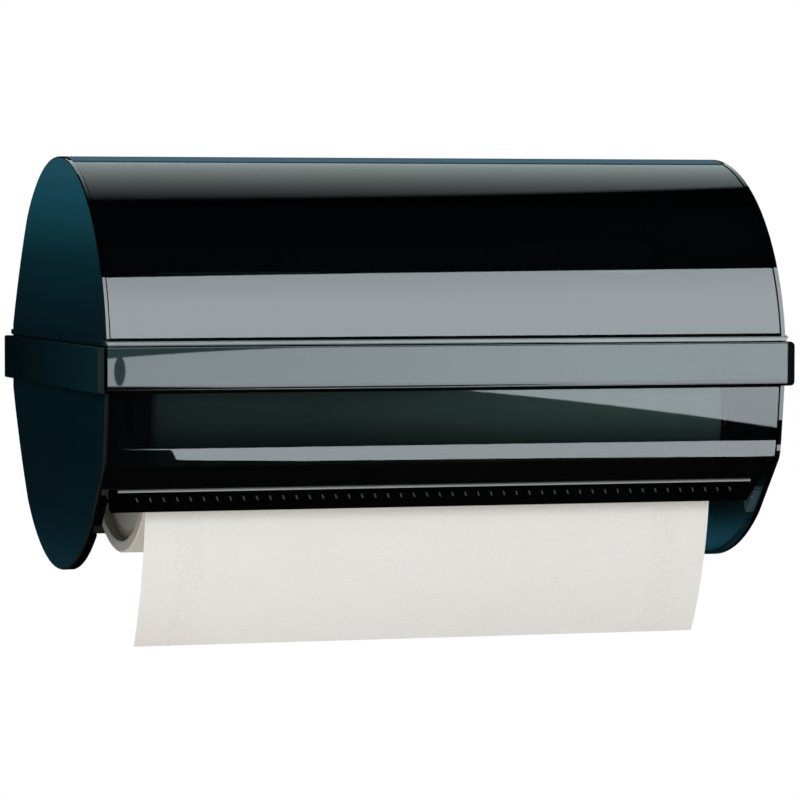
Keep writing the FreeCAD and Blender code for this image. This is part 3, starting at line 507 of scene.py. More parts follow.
def pullAlong(bm, x0, x1):
    # turns the section drawn at x0 into a skin that reaches x1
    moveMade(bm, bmesh.ops.extrude_edge_only(bm, edges=bm.edges[:]), x1 - x0)


def thicken(bm, wall, outward):
    # gives the skin its wall, with the drawn skin as the outer side
    bmesh.ops.recalc_face_normals(bm, faces=bm.faces)
    middle = max(bm.faces, key=lambda face: face.calc_area())
    if middle.normal.dot(outward) < 0:
        bmesh.ops.reverse_faces(bm, faces=bm.faces)
    outer = bm.faces[:]
    bmesh.ops.solidify(bm, geom=outer, thickness=wall * mm)
    for face in set(bm.faces) - set(outer):
        face.material_index = 1
    bmesh.ops.recalc_face_normals(bm, faces=bm.faces)


def mirrorToLeft(bm):
    bmesh.ops.scale(bm, vec=(-1, 1, 1), verts=bm.verts)
    bmesh.ops.recalc_face_normals(bm, faces=bm.faces)


def addBox(bm, low, high, soft=0.3, segments=2):
    # a box between two corners in millimetres, with softened edges
    size = Vector(high) - Vector(low)
    middle = (Vector(high) + Vector(low)) / 2
    at = Matrix.Translation(place(middle.y, middle.z, middle.x))
    made = bmesh.ops.create_cube(bm, size=1, matrix=at @ Matrix.Diagonal((*(size * mm), 1)))
    edges = list({edge for vert in made["verts"] for edge in vert.link_edges})
    bevelled(bm, edges, soft, segments)


def addRing(bm, centre, inner, outer, x0, x1, steps=32, soft=0.25):
    # a turned ring or disc about an axis along the drum
    section = bmesh.new()
    path = Path(section, (centre[0], centre[1] + inner), x0)
    corners = ((x0, outer - soft), (x0 + soft, outer), (x1 - soft, outer), (x1, outer - soft), (x1, inner))
    for x, radius in corners:
        path.step(place(centre[0], centre[1] + radius, x))
    path.close()
    bmesh.ops.spin(section, geom=section.verts[:] + section.edges[:], cent=place(*centre), axis=(1, 0, 0),
                   angle=math.tau, steps=steps, use_merge=True)
    bmesh.ops.remove_doubles(section, verts=section.verts, dist=1e-6)
    bmesh.ops.recalc_face_normals(section, faces=section.faces)
    addTo(bm, section)


# Drum outline, shared by the panels and the hood

drum = {"radius": 125.0, "halfWidth": 211.4, "wall": 2.4, "rear": 135.0, "bulge": (112.0, 54.5),
        "flat": (131.0, 20.0), "chin": -48.0, "kink": (-116.5, -57.0), "kinkRound": 14.0,
        "crease": (-118.6, -46.5)}


def kinkArc(inset=0.0):
    # tangent points and centre of the arc that rounds the outline's lower front corner
    corner = Vector(drum["kink"])
    up = (Vector(drum["crease"]) - corner).normalized()
    down = (Vector(onDrum(drum["radius"], drum["chin"])) - corner).normalized()
    half = up.angle(down) / 2
    reach = drum["kinkRound"] / math.tan(half)
    centre = corner + (up + down).normalized() * (drum["kinkRound"] / math.sin(half))
    high, low = corner + up * reach, corner + down * reach
    high += (centre - high).normalized() * inset
    low += (centre - low).normalized() * inset
    return high, low, centre, math.degrees(math.pi - 2 * half), down


def drawOutline(path):
    rearTop, flatTop = onDrum(drum["radius"], drum["rear"]), drum["flat"]
    path.arc((0, 0), -drum["rear"], 96)
    centre, turn = arcThrough(rearTop, drum["bulge"], flatTop)
    path.arc(centre, turn, 24)
    path.line(flatTop[0], -flatTop[1])
    path.arc((centre[0], -centre[1]), turn, 24)
    path.arc((0, 0), -(drum["rear"] + drum["chin"]), 64)
    high, low, centre, turn, down = kinkArc()
    path.line(*low)
    path.arc(centre, -turn, 14)
    path.line(*drum["crease"])
    path.close()


# End panels; soft and glossEnd are for the left one, -1, and the right one, 1
panelPiece = {"wall": 2.6, "soft": {-1: 0.75, 1: 0.15}, "innerSoft": 0.08, "rimDepth": 3.6, "rimWall": 2.0,
              "rimTop": -99.0, "rimTurn": -75.2, "seatRadius": 121.9, "seatWall": 2.0, "seatDepth": 5.0,
              "seatFrom": 102.0, "seatTo": 130.0, "ledge": (14.0, 17.2), "ledgeOut": 1.2, "ledgeRoot": 0.4,
              "ledgeSoft": 0.35, "glossEnd": {-1: 17.2, 1: -50.0}, "darkTo": 95.0, "button": (-13.0, 15.6),
              "hole": 2.4, "bossWall": 0.9, "bossOut": 0.3, "bossRoot": 0.2}


def panelWall(side):
    # the outline, filled and pulled into a plate with the button's hole in it
    bm = bmesh.new()
    outside = drum["halfWidth"]
    innerFace = outside - panelPiece["wall"]
    drawOutline(Path(bm, (-drum["radius"], 0), innerFace))
    across = Matrix.Rotation(math.radians(90), 4, "Y")
    bmesh.ops.create_circle(bm, segments=28, radius=panelPiece["hole"] * mm,
                            matrix=Matrix.Translation(place(*panelPiece["button"], innerFace)) @ across)
    bmesh.ops.remove_doubles(bm, verts=bm.verts, dist=1e-6)
    bmesh.ops.triangle_fill(bm, use_beauty=True, edges=bm.edges[:])
    bmesh.ops.dissolve_limit(bm, angle_limit=0.001, verts=bm.verts, edges=bm.edges)
    moveMade(bm, bmesh.ops.extrude_face_region(bm, geom=bm.faces[:]), panelPiece["wall"])
    bmesh.ops.recalc_face_normals(bm, faces=bm.faces)
    outer = [edge for edge in bm.edges if edge.calc_face_angle(0) > 1 and
             all(abs(vert.co.x - outside * mm) < 1e-5 for vert in edge.verts)]
    bevelled(bm, outer, panelPiece["soft"][side])
    softenEdges(bm, panelPiece["innerSoft"], 1, 60)
    return bm


def addRib(bm, start, turn, wall, depth):
    # a curved rib inside the panel; the drawn arc is its outer side
    inside = drum["halfWidth"] - drum["wall"]
    rib = bmesh.new()
    Path(rib, start, inside - depth).arc((0, 0), turn, 24)
    pullAlong(rib, inside - depth, inside)
    bmesh.ops.recalc_face_normals(rib, faces=rib.faces)
    near = min(rib.faces, key=lambda face: (face.calc_center_median() - place(*start)).length)
    if near.normal.dot(Vector((0, *start))) < 0:
        bmesh.ops.reverse_faces(rib, faces=rib.faces)
    bmesh.ops.solidify(rib, geom=rib.faces[:], thickness=wall * mm)
    bmesh.ops.recalc_face_normals(rib, faces=rib.faces)
    for face in rib.faces:
        face.material_index = 2
    addTo(bm, rib)


def endPanel(side, name, looks):
    bm = panelWall(side)
    # slots: 0 face, 1 edge, 2 ribs, 3 inside, 4 glossy part of the edge, 5 half of its outer bevel, where the
    # left panel is painted dark as shade
    for face in bm.faces:
        height = face.calc_center_median().z / mm
        face.material_index = 1 if abs(face.normal.x) < 0.97 else 0 if face.normal.x > 0 else 3
        if face.material_index == 1 and height > panelPiece["glossEnd"][side]:
            if height > panelPiece["darkTo"] or face.normal.x < 0.2:
                face.material_index = 4
            elif face.normal.x < 0.75:
                face.material_index = 5
    radius, outside, rimTop = drum["radius"], drum["halfWidth"], panelPiece["rimTop"]
    addRib(bm, (math.sqrt(radius ** 2 - rimTop ** 2), rimTop), panelPiece["rimTurn"], panelPiece["rimWall"],
           panelPiece["rimDepth"])
    seatFrom, seatTo = panelPiece["seatFrom"], panelPiece["seatTo"]
    addRib(bm, onDrum(panelPiece["seatRadius"], seatFrom), seatFrom - seatTo, panelPiece["seatWall"],
           panelPiece["seatDepth"])
    low, high = panelPiece["ledge"]
    front = -math.sqrt(radius ** 2 - high ** 2)
    ledgeOut = outside + panelPiece["ledgeOut"]
    addBox(bm, (outside - panelPiece["ledgeRoot"], front, low), (ledgeOut, drum["flat"][0], high),
           panelPiece["ledgeSoft"])
    addRing(bm, panelPiece["button"], panelPiece["hole"], panelPiece["hole"] + panelPiece["bossWall"],
            outside - panelPiece["bossRoot"], ledgeOut + panelPiece["bossOut"])
    if side < 0:
        mirrorToLeft(bm)
    return finishMesh(bm, name, looks)


# CAD pieces that stay, by finish
nodeLooks = {
    "plate": ["back_plate", "left_plate_bracket", "right_plate_bracket", "hinge_lugs", "left_ear",
              "right_ear", "left_latch_cup", "right_latch_cup", "hub_housing"],
    # the bar bosses are lit and shaded copies: the left one black as painted shade, the right one the lighter
    # boss tone as painted light
    "black": ["left_button", "right_button", "bar_pins", "left_bar_boss", "belt_screws"],
    "side": ["left_belt_end", "right_belt_end"],
    "boss": ["right_bar_boss"],
    "bar": ["tear_bar"],
    "blade": ["tear_blade"],
    "steel": ["hinge_rod", "side_screws", "hub_screws", "plate_screws"],
    "wire": ["hub_spring", "left_latch_spring", "right_latch_spring"],
    "hub": ["fixed_hub", "sprung_hub", "left_latch_pin", "right_latch_pin"],
    "board": ["roll_core"],
}

for look, names in nodeLooks.items():
    for name in names:
        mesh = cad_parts[name].data
        mesh.materials.clear()
        mesh.materials.append(finishes[look])
print("carried-over nodes finished")


# Skins of the hood

hood = {"halfLength": 208.3, "topWall": 2.8, "topFront": 78.0, "topRear": 105.0, "inset": 0.6, "wall": 2.4,
        "seam": 0.12, "frontEdge": 118, "upperEnd": 18.3, "skirtY": -121.8, "skirtEnd": 2.0, "skirtWall": 2.0,
        "lowerTop": -14.0, "lowerEnd": -70.2, "paintedDarkBelow": -57.0, "tongueRadius": 122.1, "tongue": (76.5, 80.0),
        "tongueWall": 2.0, "soft": 0.2, "flange": ((98.0, 53.0), (100.0, 72.0))}
knuckle = {"centre": (106.0, 50.9), "bore": 2.06, "radius": 5.0, "width": 9.0, "spacing": 140.0,
           "beside": 6.4, "web": ((99.5, 52.5), (104.9, 63.0)), "webInset": 0.2}


def topShell():
    bm = bmesh.new()
    half = hood["halfLength"]
    path = Path(bm, onDrum(drum["radius"], hood["topFront"]), -half)
    path.arc((0, 0), -(drum["rear"] - hood["topFront"]), 64)
    rearTop = onDrum(drum["radius"], drum["rear"])
    centre, turn = arcThrough(rearTop, drum["bulge"], drum["flat"])
    start = math.degrees(math.atan2(rearTop[1] - centre[1], rearTop[0] - centre[0]))
    reach = (Vector(rearTop) - Vector(centre)).length
    stop = math.degrees(math.acos((hood["topRear"] - centre[0]) / reach))
    path.arc(centre, stop - start, 20)
    pullAlong(bm, -half, half)
    thicken(bm, hood["topWall"], Vector((0, 0, 1)))
    softenEdges(bm, hood["soft"])
    for face in bm.faces:
        if face.normal.y < -0.3 and face.calc_center_median().z > hood["frontEdge"] * mm:
            face.material_index = 0
    # the flange in front of the hinge, and the knuckles
    (nearY, lowZ), (farY, highZ) = hood["flange"]
    addBox(bm, (-half, nearY, lowZ), (half, farY, highZ))
    (nearY, lowZ), (farY, highZ) = knuckle["web"]
    width, inset = knuckle["width"], knuckle["webInset"]
    for middle in (-knuckle["spacing"], 0, knuckle["spacing"]):
        for x in (middle + knuckle["beside"], middle - knuckle["beside"] - width):
            addRing(bm, knuckle["centre"], knuckle["bore"], knuckle["radius"], x, x + width)
            addBox(bm, (x + inset, nearY, lowZ), (x + width - inset, farY, highZ))
    return finishMesh(bm, "topShell", ["hood", "inside"])


def skirt(bm, z0, z1):
    # the flat strip behind the belt that a cover is screwed by
    half = hood["halfLength"]
    before = set(bm.faces)
    addBox(bm, (-half, hood["skirtY"], z0), (half, hood["skirtY"] + hood["skirtWall"], z1), 0.15, 1)
    for face in set(bm.faces) - before:
        face.material_index = 2


def upperCover():
    bm = bmesh.new()
    half = hood["halfLength"]
    radius = drum["radius"] - hood["inset"]
    first = hood["topFront"] - math.degrees(hood["seam"] / drum["radius"])
    last = math.degrees(math.asin(hood["upperEnd"] / radius))
    Path(bm, onDrum(radius, first), -half).arc((0, 0), first - last, 110)
    pullAlong(bm, -half, half)
    thicken(bm, hood["wall"], Vector((0, -1, 0)))
    softenEdges(bm, hood["soft"])
    # the tongue under the top shell
    low, high = hood["tongue"]
    tongue = bmesh.new()
    Path(tongue, onDrum(hood["tongueRadius"], high), -half).arc((0, 0), high - low, 6)
    pullAlong(tongue, -half, half)
    thicken(tongue, hood["tongueWall"], Vector((0, 0, 1)))
    addTo(bm, tongue)
    skirt(bm, hood["skirtEnd"], hood["upperEnd"])
    return finishMesh(bm, "upperCover", ["smoked", "back", "black"])


def lowerCover():
    bm = bmesh.new()
    half, inset = hood["halfLength"], hood["inset"]
    crease, front = Vector(drum["crease"]), Vector((-drum["radius"], 0))
    slope = crease - front
    inward = Vector((-slope.y, slope.x)).normalized()
    top = front + slope * (hood["lowerTop"] / slope.y) + inward * inset
    high, low, centre, turn, down = kinkArc(inset)
    path = Path(bm, tuple(top), -half)
    path.flat(*(crease + inward * inset))
    path.flat(*high)
    path.arc(centre, turn, 24)
    path.flat(*(low + down * ((low.y - hood["lowerEnd"]) / -down.y)))
    bmesh.ops.remove_doubles(bm, verts=bm.verts, dist=1e-6)
    pullAlong(bm, -half, half)
    thicken(bm, hood["wall"], Vector((0, -1, 0)))
    softenEdges(bm, hood["soft"])
    # painted dark reflection: below this height, where the cover turns down, its faces take the black
    # moulding
    for face in bm.faces:
        if face.calc_center_median().z < hood["paintedDarkBelow"] * mm:
            face.material_index = 2
    skirt(bm, hood["lowerTop"], -hood["skirtEnd"])
    return finishMesh(bm, "lowerCover", ["lowFront", "lowBack", "black"])


# roundings: radius and steps of the upper and the lower front edge
belt = {"front": -128.2, "inner": -125.6, "half": 212.0, "low": -13.3, "high": 13.3,
        "roundings": ((0.4, 5), (2.4, 9)), "returnHalf": 207.9, "returnWall": 2.0, "returnY": -121.9,
        "overlap": 0.2, "endSoft": 0.9, "bossRadius": 3.0, "bossX": (0, 90, 170, 197), "bossZ": 7.5,
        "bossOverlap": 0.1}
lip = {"front": -127.6, "half": 212.0, "low": 14.0, "high": 16.7, "roundings": ((0.25, 6), (0.25, 6)),
       "soft": 0.2}


def pullSolid(bm, length):
    # pulls a closed section along the drum with its narrow strips kept, and caps its two ends
    bmesh.ops.remove_doubles(bm, verts=bm.verts, dist=1e-6)
    moveMade(bm, bmesh.ops.extrude_edge_only(bm, edges=bm.edges[:]), length)
    bmesh.ops.holes_fill(bm, edges=bm.edges[:], sides=0)
    bmesh.ops.recalc_face_normals(bm, faces=bm.faces)


def beltWall(piece):
    # a wall in front of the covers, with rounded front edges
    bm = bmesh.new()
    front, low, high = piece["front"], piece["low"], piece["high"]
    (top, topSteps), (foot, footSteps) = piece["roundings"]
    path = Path(bm, (belt["inner"], high), -piece["half"])
    path.line(front + top, high)
    path.arc((front + top, high - top), 90, topSteps)
    path.flat(front, low + foot)
    path.arc((front + foot, low + foot), 90, footSteps)
    path.line(belt["inner"], low)
    path.close()
    pullSolid(bm, 2 * piece["half"])
    return bm


def addReturn(bm, low, high):
    # a flat strip that runs back from a wall to the covers
    half = belt["returnHalf"]
    addBox(bm, (-half, belt["inner"] - belt["overlap"], low), (half, belt["returnY"], high), 0.2, 1)


def coverBelt():
    # the belt round the hood's front, with two returns and its screw bosses
    bm = beltWall(belt)
    half, low, high = belt["half"], belt["low"], belt["high"]
    ends = [edge for edge in bm.edges if abs(edge.calc_face_angle(0)) > 1 and
            all(abs(abs(vert.co.x) - half * mm) < 1e-5 for vert in edge.verts)]
    bevelled(bm, ends, belt["endSoft"])
    # painted shade: black below and at the left end, where the wall turns away
    for face in bm.faces:
        if face.normal.y > 0.5:
            face.material_index = 1
        elif face.normal.z < -0.35 or face.normal.x < -0.3:
            face.material_index = 2
    before = set(bm.faces)
    addReturn(bm, high - belt["returnWall"], high)
    addReturn(bm, low, low + belt["returnWall"])
    turn = Matrix.Rotation(math.radians(90), 4, "X")
    depth = belt["returnY"] - belt["inner"] + belt["bossOverlap"]
    for x in sorted({side * x for side in (-1, 1) for x in belt["bossX"]}):
        for z in (-belt["bossZ"], belt["bossZ"]):
            if z > 0 or abs(x) < belt["bossX"][-1]:
                at = Matrix.Translation(place(belt["returnY"] - depth / 2, z, x))
                bmesh.ops.create_cone(bm, cap_ends=True, segments=20, radius1=belt["bossRadius"] * mm,
                                      radius2=belt["bossRadius"] * mm, depth=depth * mm, matrix=at @ turn)
    for face in set(bm.faces) - before:
        face.material_index = 2
    return finishMesh(bm, "coverBelt", ["belt", "back", "black"])


def beltLip():
    # the thin bead above the belt, whose ends slant inwards
    bm = beltWall(lip)
    for vert in bm.verts:
        vert.co.x -= math.copysign((lip["high"] * mm - vert.co.z) / 2, vert.co.x)
    softenEdges(bm, lip["soft"], 1, 60)
    addReturn(bm, lip["low"], lip["high"])
    return finishMesh(bm, "beltLip", ["lip"])


sideBelt = {"inner": 211.4, "outer": 216.8, "height": 13.3, "front": -122.6, "rear": 107.0, "soft": 0.5,
            "noseInner": 212.4, "nose": -126.2, "noseRoot": 2.0, "noseSoft": 0.4, "noseCorner": 2.6}


def sideBeltPiece(side, name, looks):
    # the belt along a panel, with the nose that closes the end of the hood's belt
    bm = bmesh.new()
    outer, front, height = sideBelt["outer"], sideBelt["front"], sideBelt["height"]
    addBox(bm, (sideBelt["inner"], front, -height), (outer, sideBelt["rear"], height), sideBelt["soft"])
    nose = bmesh.new()
    addBox(nose, (sideBelt["noseInner"], sideBelt["nose"], -height),
           (outer, front + sideBelt["noseRoot"], height), 0)
    corners = [edge for edge in nose.edges if abs(edge.verts[0].co.y - edge.verts[1].co.y) > mm and
               edge.verts[0].co.x > (outer - 0.1) * mm]
    bevelled(nose, corners, sideBelt["noseCorner"], 6)
    softenEdges(nose, sideBelt["noseSoft"], 2, 60)
    addTo(bm, nose)
    if side < 0:
        mirrorToLeft(bm)
    for face in bm.faces:
        if face.normal.y < -0.5:
            face.material_index = 1
    return finishMesh(bm, name, looks)


# lit and shaded copies: the left belt's front faces take the facet tone, the right belt's the black moulding
# as painted shade
settle(sideBeltPiece(-1, "leftSideBelt", ["side", "facet"]), "housing", ["left_side_belt"])
settle(sideBeltPiece(1, "rightSideBelt", ["side", "black"]), "housing", ["right_side_belt"])
settle(topShell(), "hood", ["top_shell"])
settle(upperCover(), "hood", ["upper_cover"])
settle(lowerCover(), "hood", ["lower_cover"])
settle(coverBelt(), "hood", ["cover_belt"])
settle(beltLip(), "hood", ["belt_lip"])
print("hood skins made")

# lit and shaded copies: the left panel's ribs and half bevel and the right panel's edge below its gloss are
# black as painted shade
leftLooks = ["petrol", "edge", "black", "inside", "gloss", "black"]
rightLooks = ["petrol", "black", "petrol", "inside", "gloss", "gloss"]
settle(endPanel(-1, "leftPanel", leftLooks), "housing", ["left_end_panel"])
settle(endPanel(1, "rightPanel", rightLooks), "housing", ["right_end_panel"])
print("end panels made")


# Paper

roll = {"centre": (-19.0, -30.0), "radius": 84.0, "half": 178.5, "ringWall": 7.0, "step": 5.0, "core": 20.0,
        "soft": 0.8}


def paperRoll():
    # the wound paper; its outer layers stand out past the rest at the left end
    bm = bmesh.new()
    cy, cz = roll["centre"]
    half, radius, soft = roll["half"], roll["radius"], roll["soft"]
    inner = radius - roll["ringWall"]
    turns = [(-half + roll["step"], inner), (-half + soft / 2, inner), (-half, inner + soft / 2),
             (-half, radius - soft), (-half + soft, radius), (half - soft, radius), (half, radius - soft),
             (half, roll["core"])]
    path = Path(bm, (cy, cz + roll["core"]), -half + roll["step"])
    for x, reach in turns:
        path.step(place(cy, cz + reach, x))
    bmesh.ops.spin(bm, geom=bm.verts[:] + bm.edges[:], cent=place(cy, cz), axis=(1, 0, 0), angle=math.tau,
                   steps=128, use_merge=True)
    bmesh.ops.remove_doubles(bm, verts=bm.verts, dist=1e-6)
    bmesh.ops.recalc_face_normals(bm, faces=bm.faces)
    return finishMesh(bm, "paperRoll", ["roll"])


sheet = {"gap": 0.3, "wall": 0.5, "start": -24.0, "leave": -38.0, "bend": 12.0, "bendTurn": -30.0,
         "hang": 205.0, "hangTurn": 24.0, "half": 178.0, "flat": (0.356, 0.1128)}


def hangingSheet():
    # round the roll, over a small bend, then down in a long gentle curve
    bm = bmesh.new()
    cy, cz = roll["centre"]
    reach = roll["radius"] + sheet["gap"] + sheet["wall"] / 2
    start = onDrum(reach, sheet["start"])
    at = Vector((cy + start[0], cz + start[1]))
    path = Path(bm, tuple(at), -sheet["half"])
    heading = math.radians(-sheet["start"])
    runs = ((reach, sheet["start"] - sheet["leave"], 10), (sheet["bend"], sheet["bendTurn"], 10),
            (sheet["hang"], sheet["hangTurn"], 40))
    for radius, degrees, steps in runs:
        arm = math.copysign(radius, degrees)
        centre = at + Vector((math.cos(heading), math.sin(heading))) * arm
        path.arc(tuple(centre), degrees, steps)
        heading += math.radians(degrees)
        at = centre - Vector((math.cos(heading), math.sin(heading))) * arm
    bmesh.ops.remove_doubles(bm, verts=bm.verts, dist=1e-6)
    pullAlong(bm, -sheet["half"], sheet["half"])
    bmesh.ops.recalc_face_normals(bm, faces=bm.faces)
    if sum(face.normal.y for face in bm.faces) > 0:
        bmesh.ops.reverse_faces(bm, faces=bm.faces)
    return finishMesh(bm, "hangingSheet", ["sheet"], 60)


settle(paperRoll(), "roll", ["paper_roll"])
paper = settle(hangingSheet(), "housing", ["hanging_sheet"])
print("paper made")


# Studio: pale floor, plain lamps, and light panels that only gloss reflects

camera = {"place": (-0.7726, -2.63427, 0.09151), "tilt": -2.544, "turn": -17.263, "roll": -0.077,
          "lens": 190.2}
studio = {"white": 1.0, "ambient": (1, 0.99, 0.97), "ambientLevel": 0.5, "floorZ": -0.62, "floorSize": 4.4,
          "floorNear": 0.5, "floorFar": 1.9, "floorShare": 0.35}
floorLook = {"colour": (0.85, 0.85, 0.85), "roughness": 0.9}
# each lamp: place, aim, size and power
lamps = {
    "keyLamp": ((-2.1, -2.2, 1.6), (0.0, -0.15, -0.05), 1.4, 36),
    "fillLamp": ((1.5, -2.2, 0.5), (0.1, -0.15, -0.05), 1.2, 12),
    "lowLamp": ((-0.9, -1.3, -0.45), (-0.1, -0.13, -0.1), 0.5, 3),
}
# each light panel: azimuth and elevation of its lower and upper corners, left first, as seen from the drum's
# front, the bow of its upper edge, its distance and strength
panels = {
    "upperPanel": ((-20, 11.5), (48, 11.5), (-20, 43.5), (48, 45.8), 6.7, 1.6, 6.5),
    "lowerPanel": ((-20, -17.85), (46, -17.65), (-20, -0.9), (46, -0.9), 0, 1.6, 5.7),
    "floorPanel": ((14.6, -41.9), (50, -49.0), (3.4, -24.0), (52, -22.5), 0, 1.1, 5.6),
    "wedgeFlag": ((5, -1.31), (17, -1.3), (5, -1.84), (17, -1.33), 0.12, 1.59, 0.05),
    "underFlag": ((4, -16.0), (18, -16.0), (4, -2.71), (22.5, -2.95), 0, 1.585, 0.01),
    "endFlag": ((6.0, -2.72), (6.4, -2.72), (6.02, -1.7), (6.42, -1.7), 0, 1.58, 0.03),
}
roundPanels = ["endFlag"]
panelTint = (0.86, 0.96, 1.0)
# how a panel's strength changes: the axis, two places in millimetres, and the levels there
panelFade = ("Z", 900, 1220, 1.0, 0.84)
ownFades = {"lowerPanel": [("X", 150, 600, 0.84, 1.06), ("Z", -460, -300, 0.86, 1.0)]}
# the curved overhead panel: the angles that it spans, its curved front edge, and its brightness by depth
overhead = {"from": 94, "to": 152.3, "radius": 1.6, "low": -0.4, "high": 1.9, "strength": 1.7,
            "tint": (0.84, 1.0, 0.97), "edge": (0.16, 0.22, 0.42), "edgeSoft": 0.055, "depth": 1.4,
            "fade": [(0.2, 0.06), (0.29, 0.15), (0.4, 0.27), (0.52, 0.39), (0.64, 0.5), (0.75, 0.6),
                     (0.87, 0.67), (1.0, 0.72), (1.3, 0.76)]}
surround = {"radius": 2.5, "colour": (0.004, 0.005, 0.006), "centre": (0, -0.13, 0)}


def glow(name, tint):
    material = bpy.data.materials.new(name)
    material.use_nodes = True
    shade = Shading(material.node_tree)
    shade.nodes.remove(shade.shader)
    shade.shader = shade.nodes.new("ShaderNodeEmission")
    shade.surface(shade.shader.outputs["Emission"])
    shade.set("Color", (*tint, 1))
    shade.set("Strength", 1)
    return material, shade


def stagePiece(bm, name, material):
    mesh = bpy.data.meshes.new(name)
    bm.to_mesh(mesh)
    bm.free()
    mesh.materials.append(material)
    piece = bpy.data.objects.new(name, mesh)
    bpy.context.scene.collection.objects.link(piece)
    return piece


def onlyInGloss(piece):
    for kind in ("camera", "diffuse", "transmission", "shadow", "volume_scatter"):
        setattr(piece, "visible_" + kind, False)


def lightPanel(name, lowLeft, lowRight, highLeft, highRight, bow, distance, strength):
    # a patch of a sphere round the drum's front
    bm = bmesh.new()
    bmesh.ops.create_grid(bm, x_segments=32, y_segments=24, size=0.5)
    centre = Vector((0, -0.255, 0))
    for vert in bm.verts:
        if name in roundPanels:
            x, y = vert.co.x, vert.co.y
            vert.co.x, vert.co.y = x * math.sqrt(1 - 2 * y * y), y * math.sqrt(1 - 2 * x * x)
        across, up = vert.co.x + 0.5, vert.co.y + 0.5
        low = Vector(lowLeft).lerp(Vector(lowRight), across)
        high = Vector(highLeft).lerp(Vector(highRight), across)
        high.y += bow * 4 * across * (1 - across)
        azimuth, rise = (math.radians(angle) for angle in low.lerp(high, up))
        ray = Vector((math.sin(azimuth), -math.cos(azimuth), 0)) * math.cos(rise)
        ray.z = math.sin(rise)
        vert.co = centre + ray * distance
    material, shade = glow(name + "Glow", panelTint)
    level = shade.byAxis(*panelFade)
    for fade in ownFades.get(name, []):
        level = shade.maths("MULTIPLY", level, shade.byAxis(*fade))
    shade.set("Strength", shade.scaled(level, strength))
    onlyInGloss(stagePiece(bm, name, material))


def overheadPanel():
    # a long curved panel from above the drum to behind it, brighter towards the back
    bm = bmesh.new()
    centre, radius = Vector((0, axisY, 0)), overhead["radius"]
    start, stop = math.radians(overhead["from"]), math.radians(overhead["to"])
    ray = Vector((0, -math.cos(start), math.sin(start)))
    first = bm.verts.new(centre + ray * radius + Vector((overhead["low"], 0, 0)))
    bmesh.ops.spin(bm, geom=[first], cent=centre, axis=(1, 0, 0), angle=start - stop, steps=40)
    pullAlong(bm, overhead["low"] / mm, overhead["high"] / mm)
    material, shade = glow("overheadGlow", overhead["tint"])
    x, y = (shade.part(shade.space(), axis) for axis in "XY")
    # the front edge lies at start + slope * x + curl * x^3
    start, slope, curl = overhead["edge"]
    edge = shade.maths("ADD", shade.scaled(x, slope, start), shade.scaled(shade.maths("POWER", x, 3), curl))
    soft = overhead["edgeSoft"]
    mask = shade.between(shade.maths("SUBTRACT", y, edge), -soft, soft, interpolation_type="SMOOTHSTEP")
    stops = [(depth / overhead["depth"], grey(level)) for depth, level in overhead["fade"]]
    fade = shade.ramp(shade.scaled(y, 1 / overhead["depth"]), stops)
    shade.set("Strength", shade.scaled(shade.maths("MULTIPLY", fade, mask), overhead["strength"]))
    onlyInGloss(stagePiece(bm, "overheadPanel", material))


def darkSurround():
    # a dark tent round the set, so that the polished covers have something black to reflect
    bm = bmesh.new()
    bmesh.ops.create_icosphere(bm, subdivisions=4, radius=surround["radius"],
                               matrix=Matrix.Translation(surround["centre"]))
    material, shade = glow("surroundDark", surround["colour"])
    onlyInGloss(stagePiece(bm, "darkSurround", material))


def seenDirectly(shade):
    # camera, mirror and see-through rays
    rays = [shade.add("LightPath", {}, f"Is {kind} Ray") for kind in ("Camera", "Glossy", "Transmission")]
    return shade.maths("MAXIMUM", shade.maths("MAXIMUM", rays[0], rays[1]), rays[2])


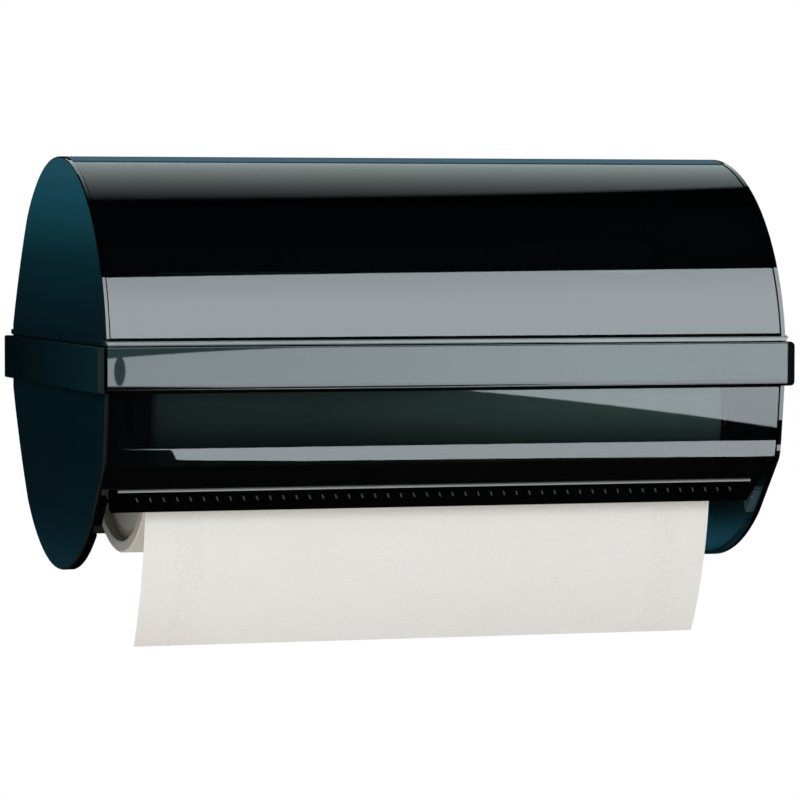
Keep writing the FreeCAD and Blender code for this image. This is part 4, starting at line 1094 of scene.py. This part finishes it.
def plainWorld():
    world = bpy.data.worlds.new("studioWorld")
    bpy.context.scene.world = world
    world.use_nodes = True
    shade = Shading(world.node_tree)
    shade.nodes.clear()
    pale = shade.add("Background", {"Color": (1, 1, 1, 1), "Strength": studio["white"]})
    soft = shade.add("Background", {"Color": (*studio["ambient"], 1), "Strength": studio["ambientLevel"]})
    out = shade.nodes.new("ShaderNodeOutputWorld")
    shade.put(out.inputs["Surface"], shade.add("MixShader", {"Fac": seenDirectly(shade), 1: soft, 2: pale}))


def paleFloor():
    # pale and matt near the object, where it holds the shadow, and plain white further out
    bm = bmesh.new()
    bmesh.ops.create_grid(bm, x_segments=1, y_segments=1, size=studio["floorSize"] / 2)
    bmesh.ops.translate(bm, verts=bm.verts, vec=(0, 0, studio["floorZ"]))
    material, shade = newMaterial("floorPale", floorLook)
    away = shade.length(shade.space(scale=(1, 1, 0)))
    fade = shade.between(away, studio["floorNear"], studio["floorFar"], studio["floorShare"],
                         interpolation_type="SMOOTHSTEP")
    share = shade.maths("MULTIPLY", seenDirectly(shade), fade)
    light = shade.add("Emission", {"Strength": studio["white"]})
    shade.surface(shade.add("MixShader", {"Fac": share, 1: shade.shader.outputs["BSDF"], 2: light}))
    floor = stagePiece(bm, "floor", material)
    floor.visible_glossy = False


def addLamp(name, spot, aim, size, power):
    data = bpy.data.lights.new(name, "AREA")
    data.shape = "DISK"
    data.size = size
    data.energy = power
    lamp = bpy.data.objects.new(name, data)
    lamp.location = spot
    lamp.rotation_mode = "QUATERNION"
    lamp.rotation_quaternion = (Vector(aim) - Vector(spot)).to_track_quat("-Z", "Y")
    lamp.visible_glossy = False
    bpy.context.scene.collection.objects.link(lamp)


def addCamera():
    data = bpy.data.cameras.new("camera")
    data.lens = camera["lens"]
    data.sensor_width = 36
    piece = bpy.data.objects.new("camera", data)
    piece.location = camera["place"]
    angles = (90 + camera["tilt"], camera["roll"], camera["turn"])
    piece.rotation_euler = [math.radians(angle) for angle in angles]
    bpy.context.scene.collection.objects.link(piece)
    bpy.context.scene.camera = piece


for name, values in panels.items():
    lightPanel(name, *values)
overheadPanel()
darkSurround()
for name, values in lamps.items():
    addLamp(name, *values)
plainWorld()
paleFloor()
addCamera()
bpy.context.scene.view_settings.view_transform = "Standard"
print("studio ready")
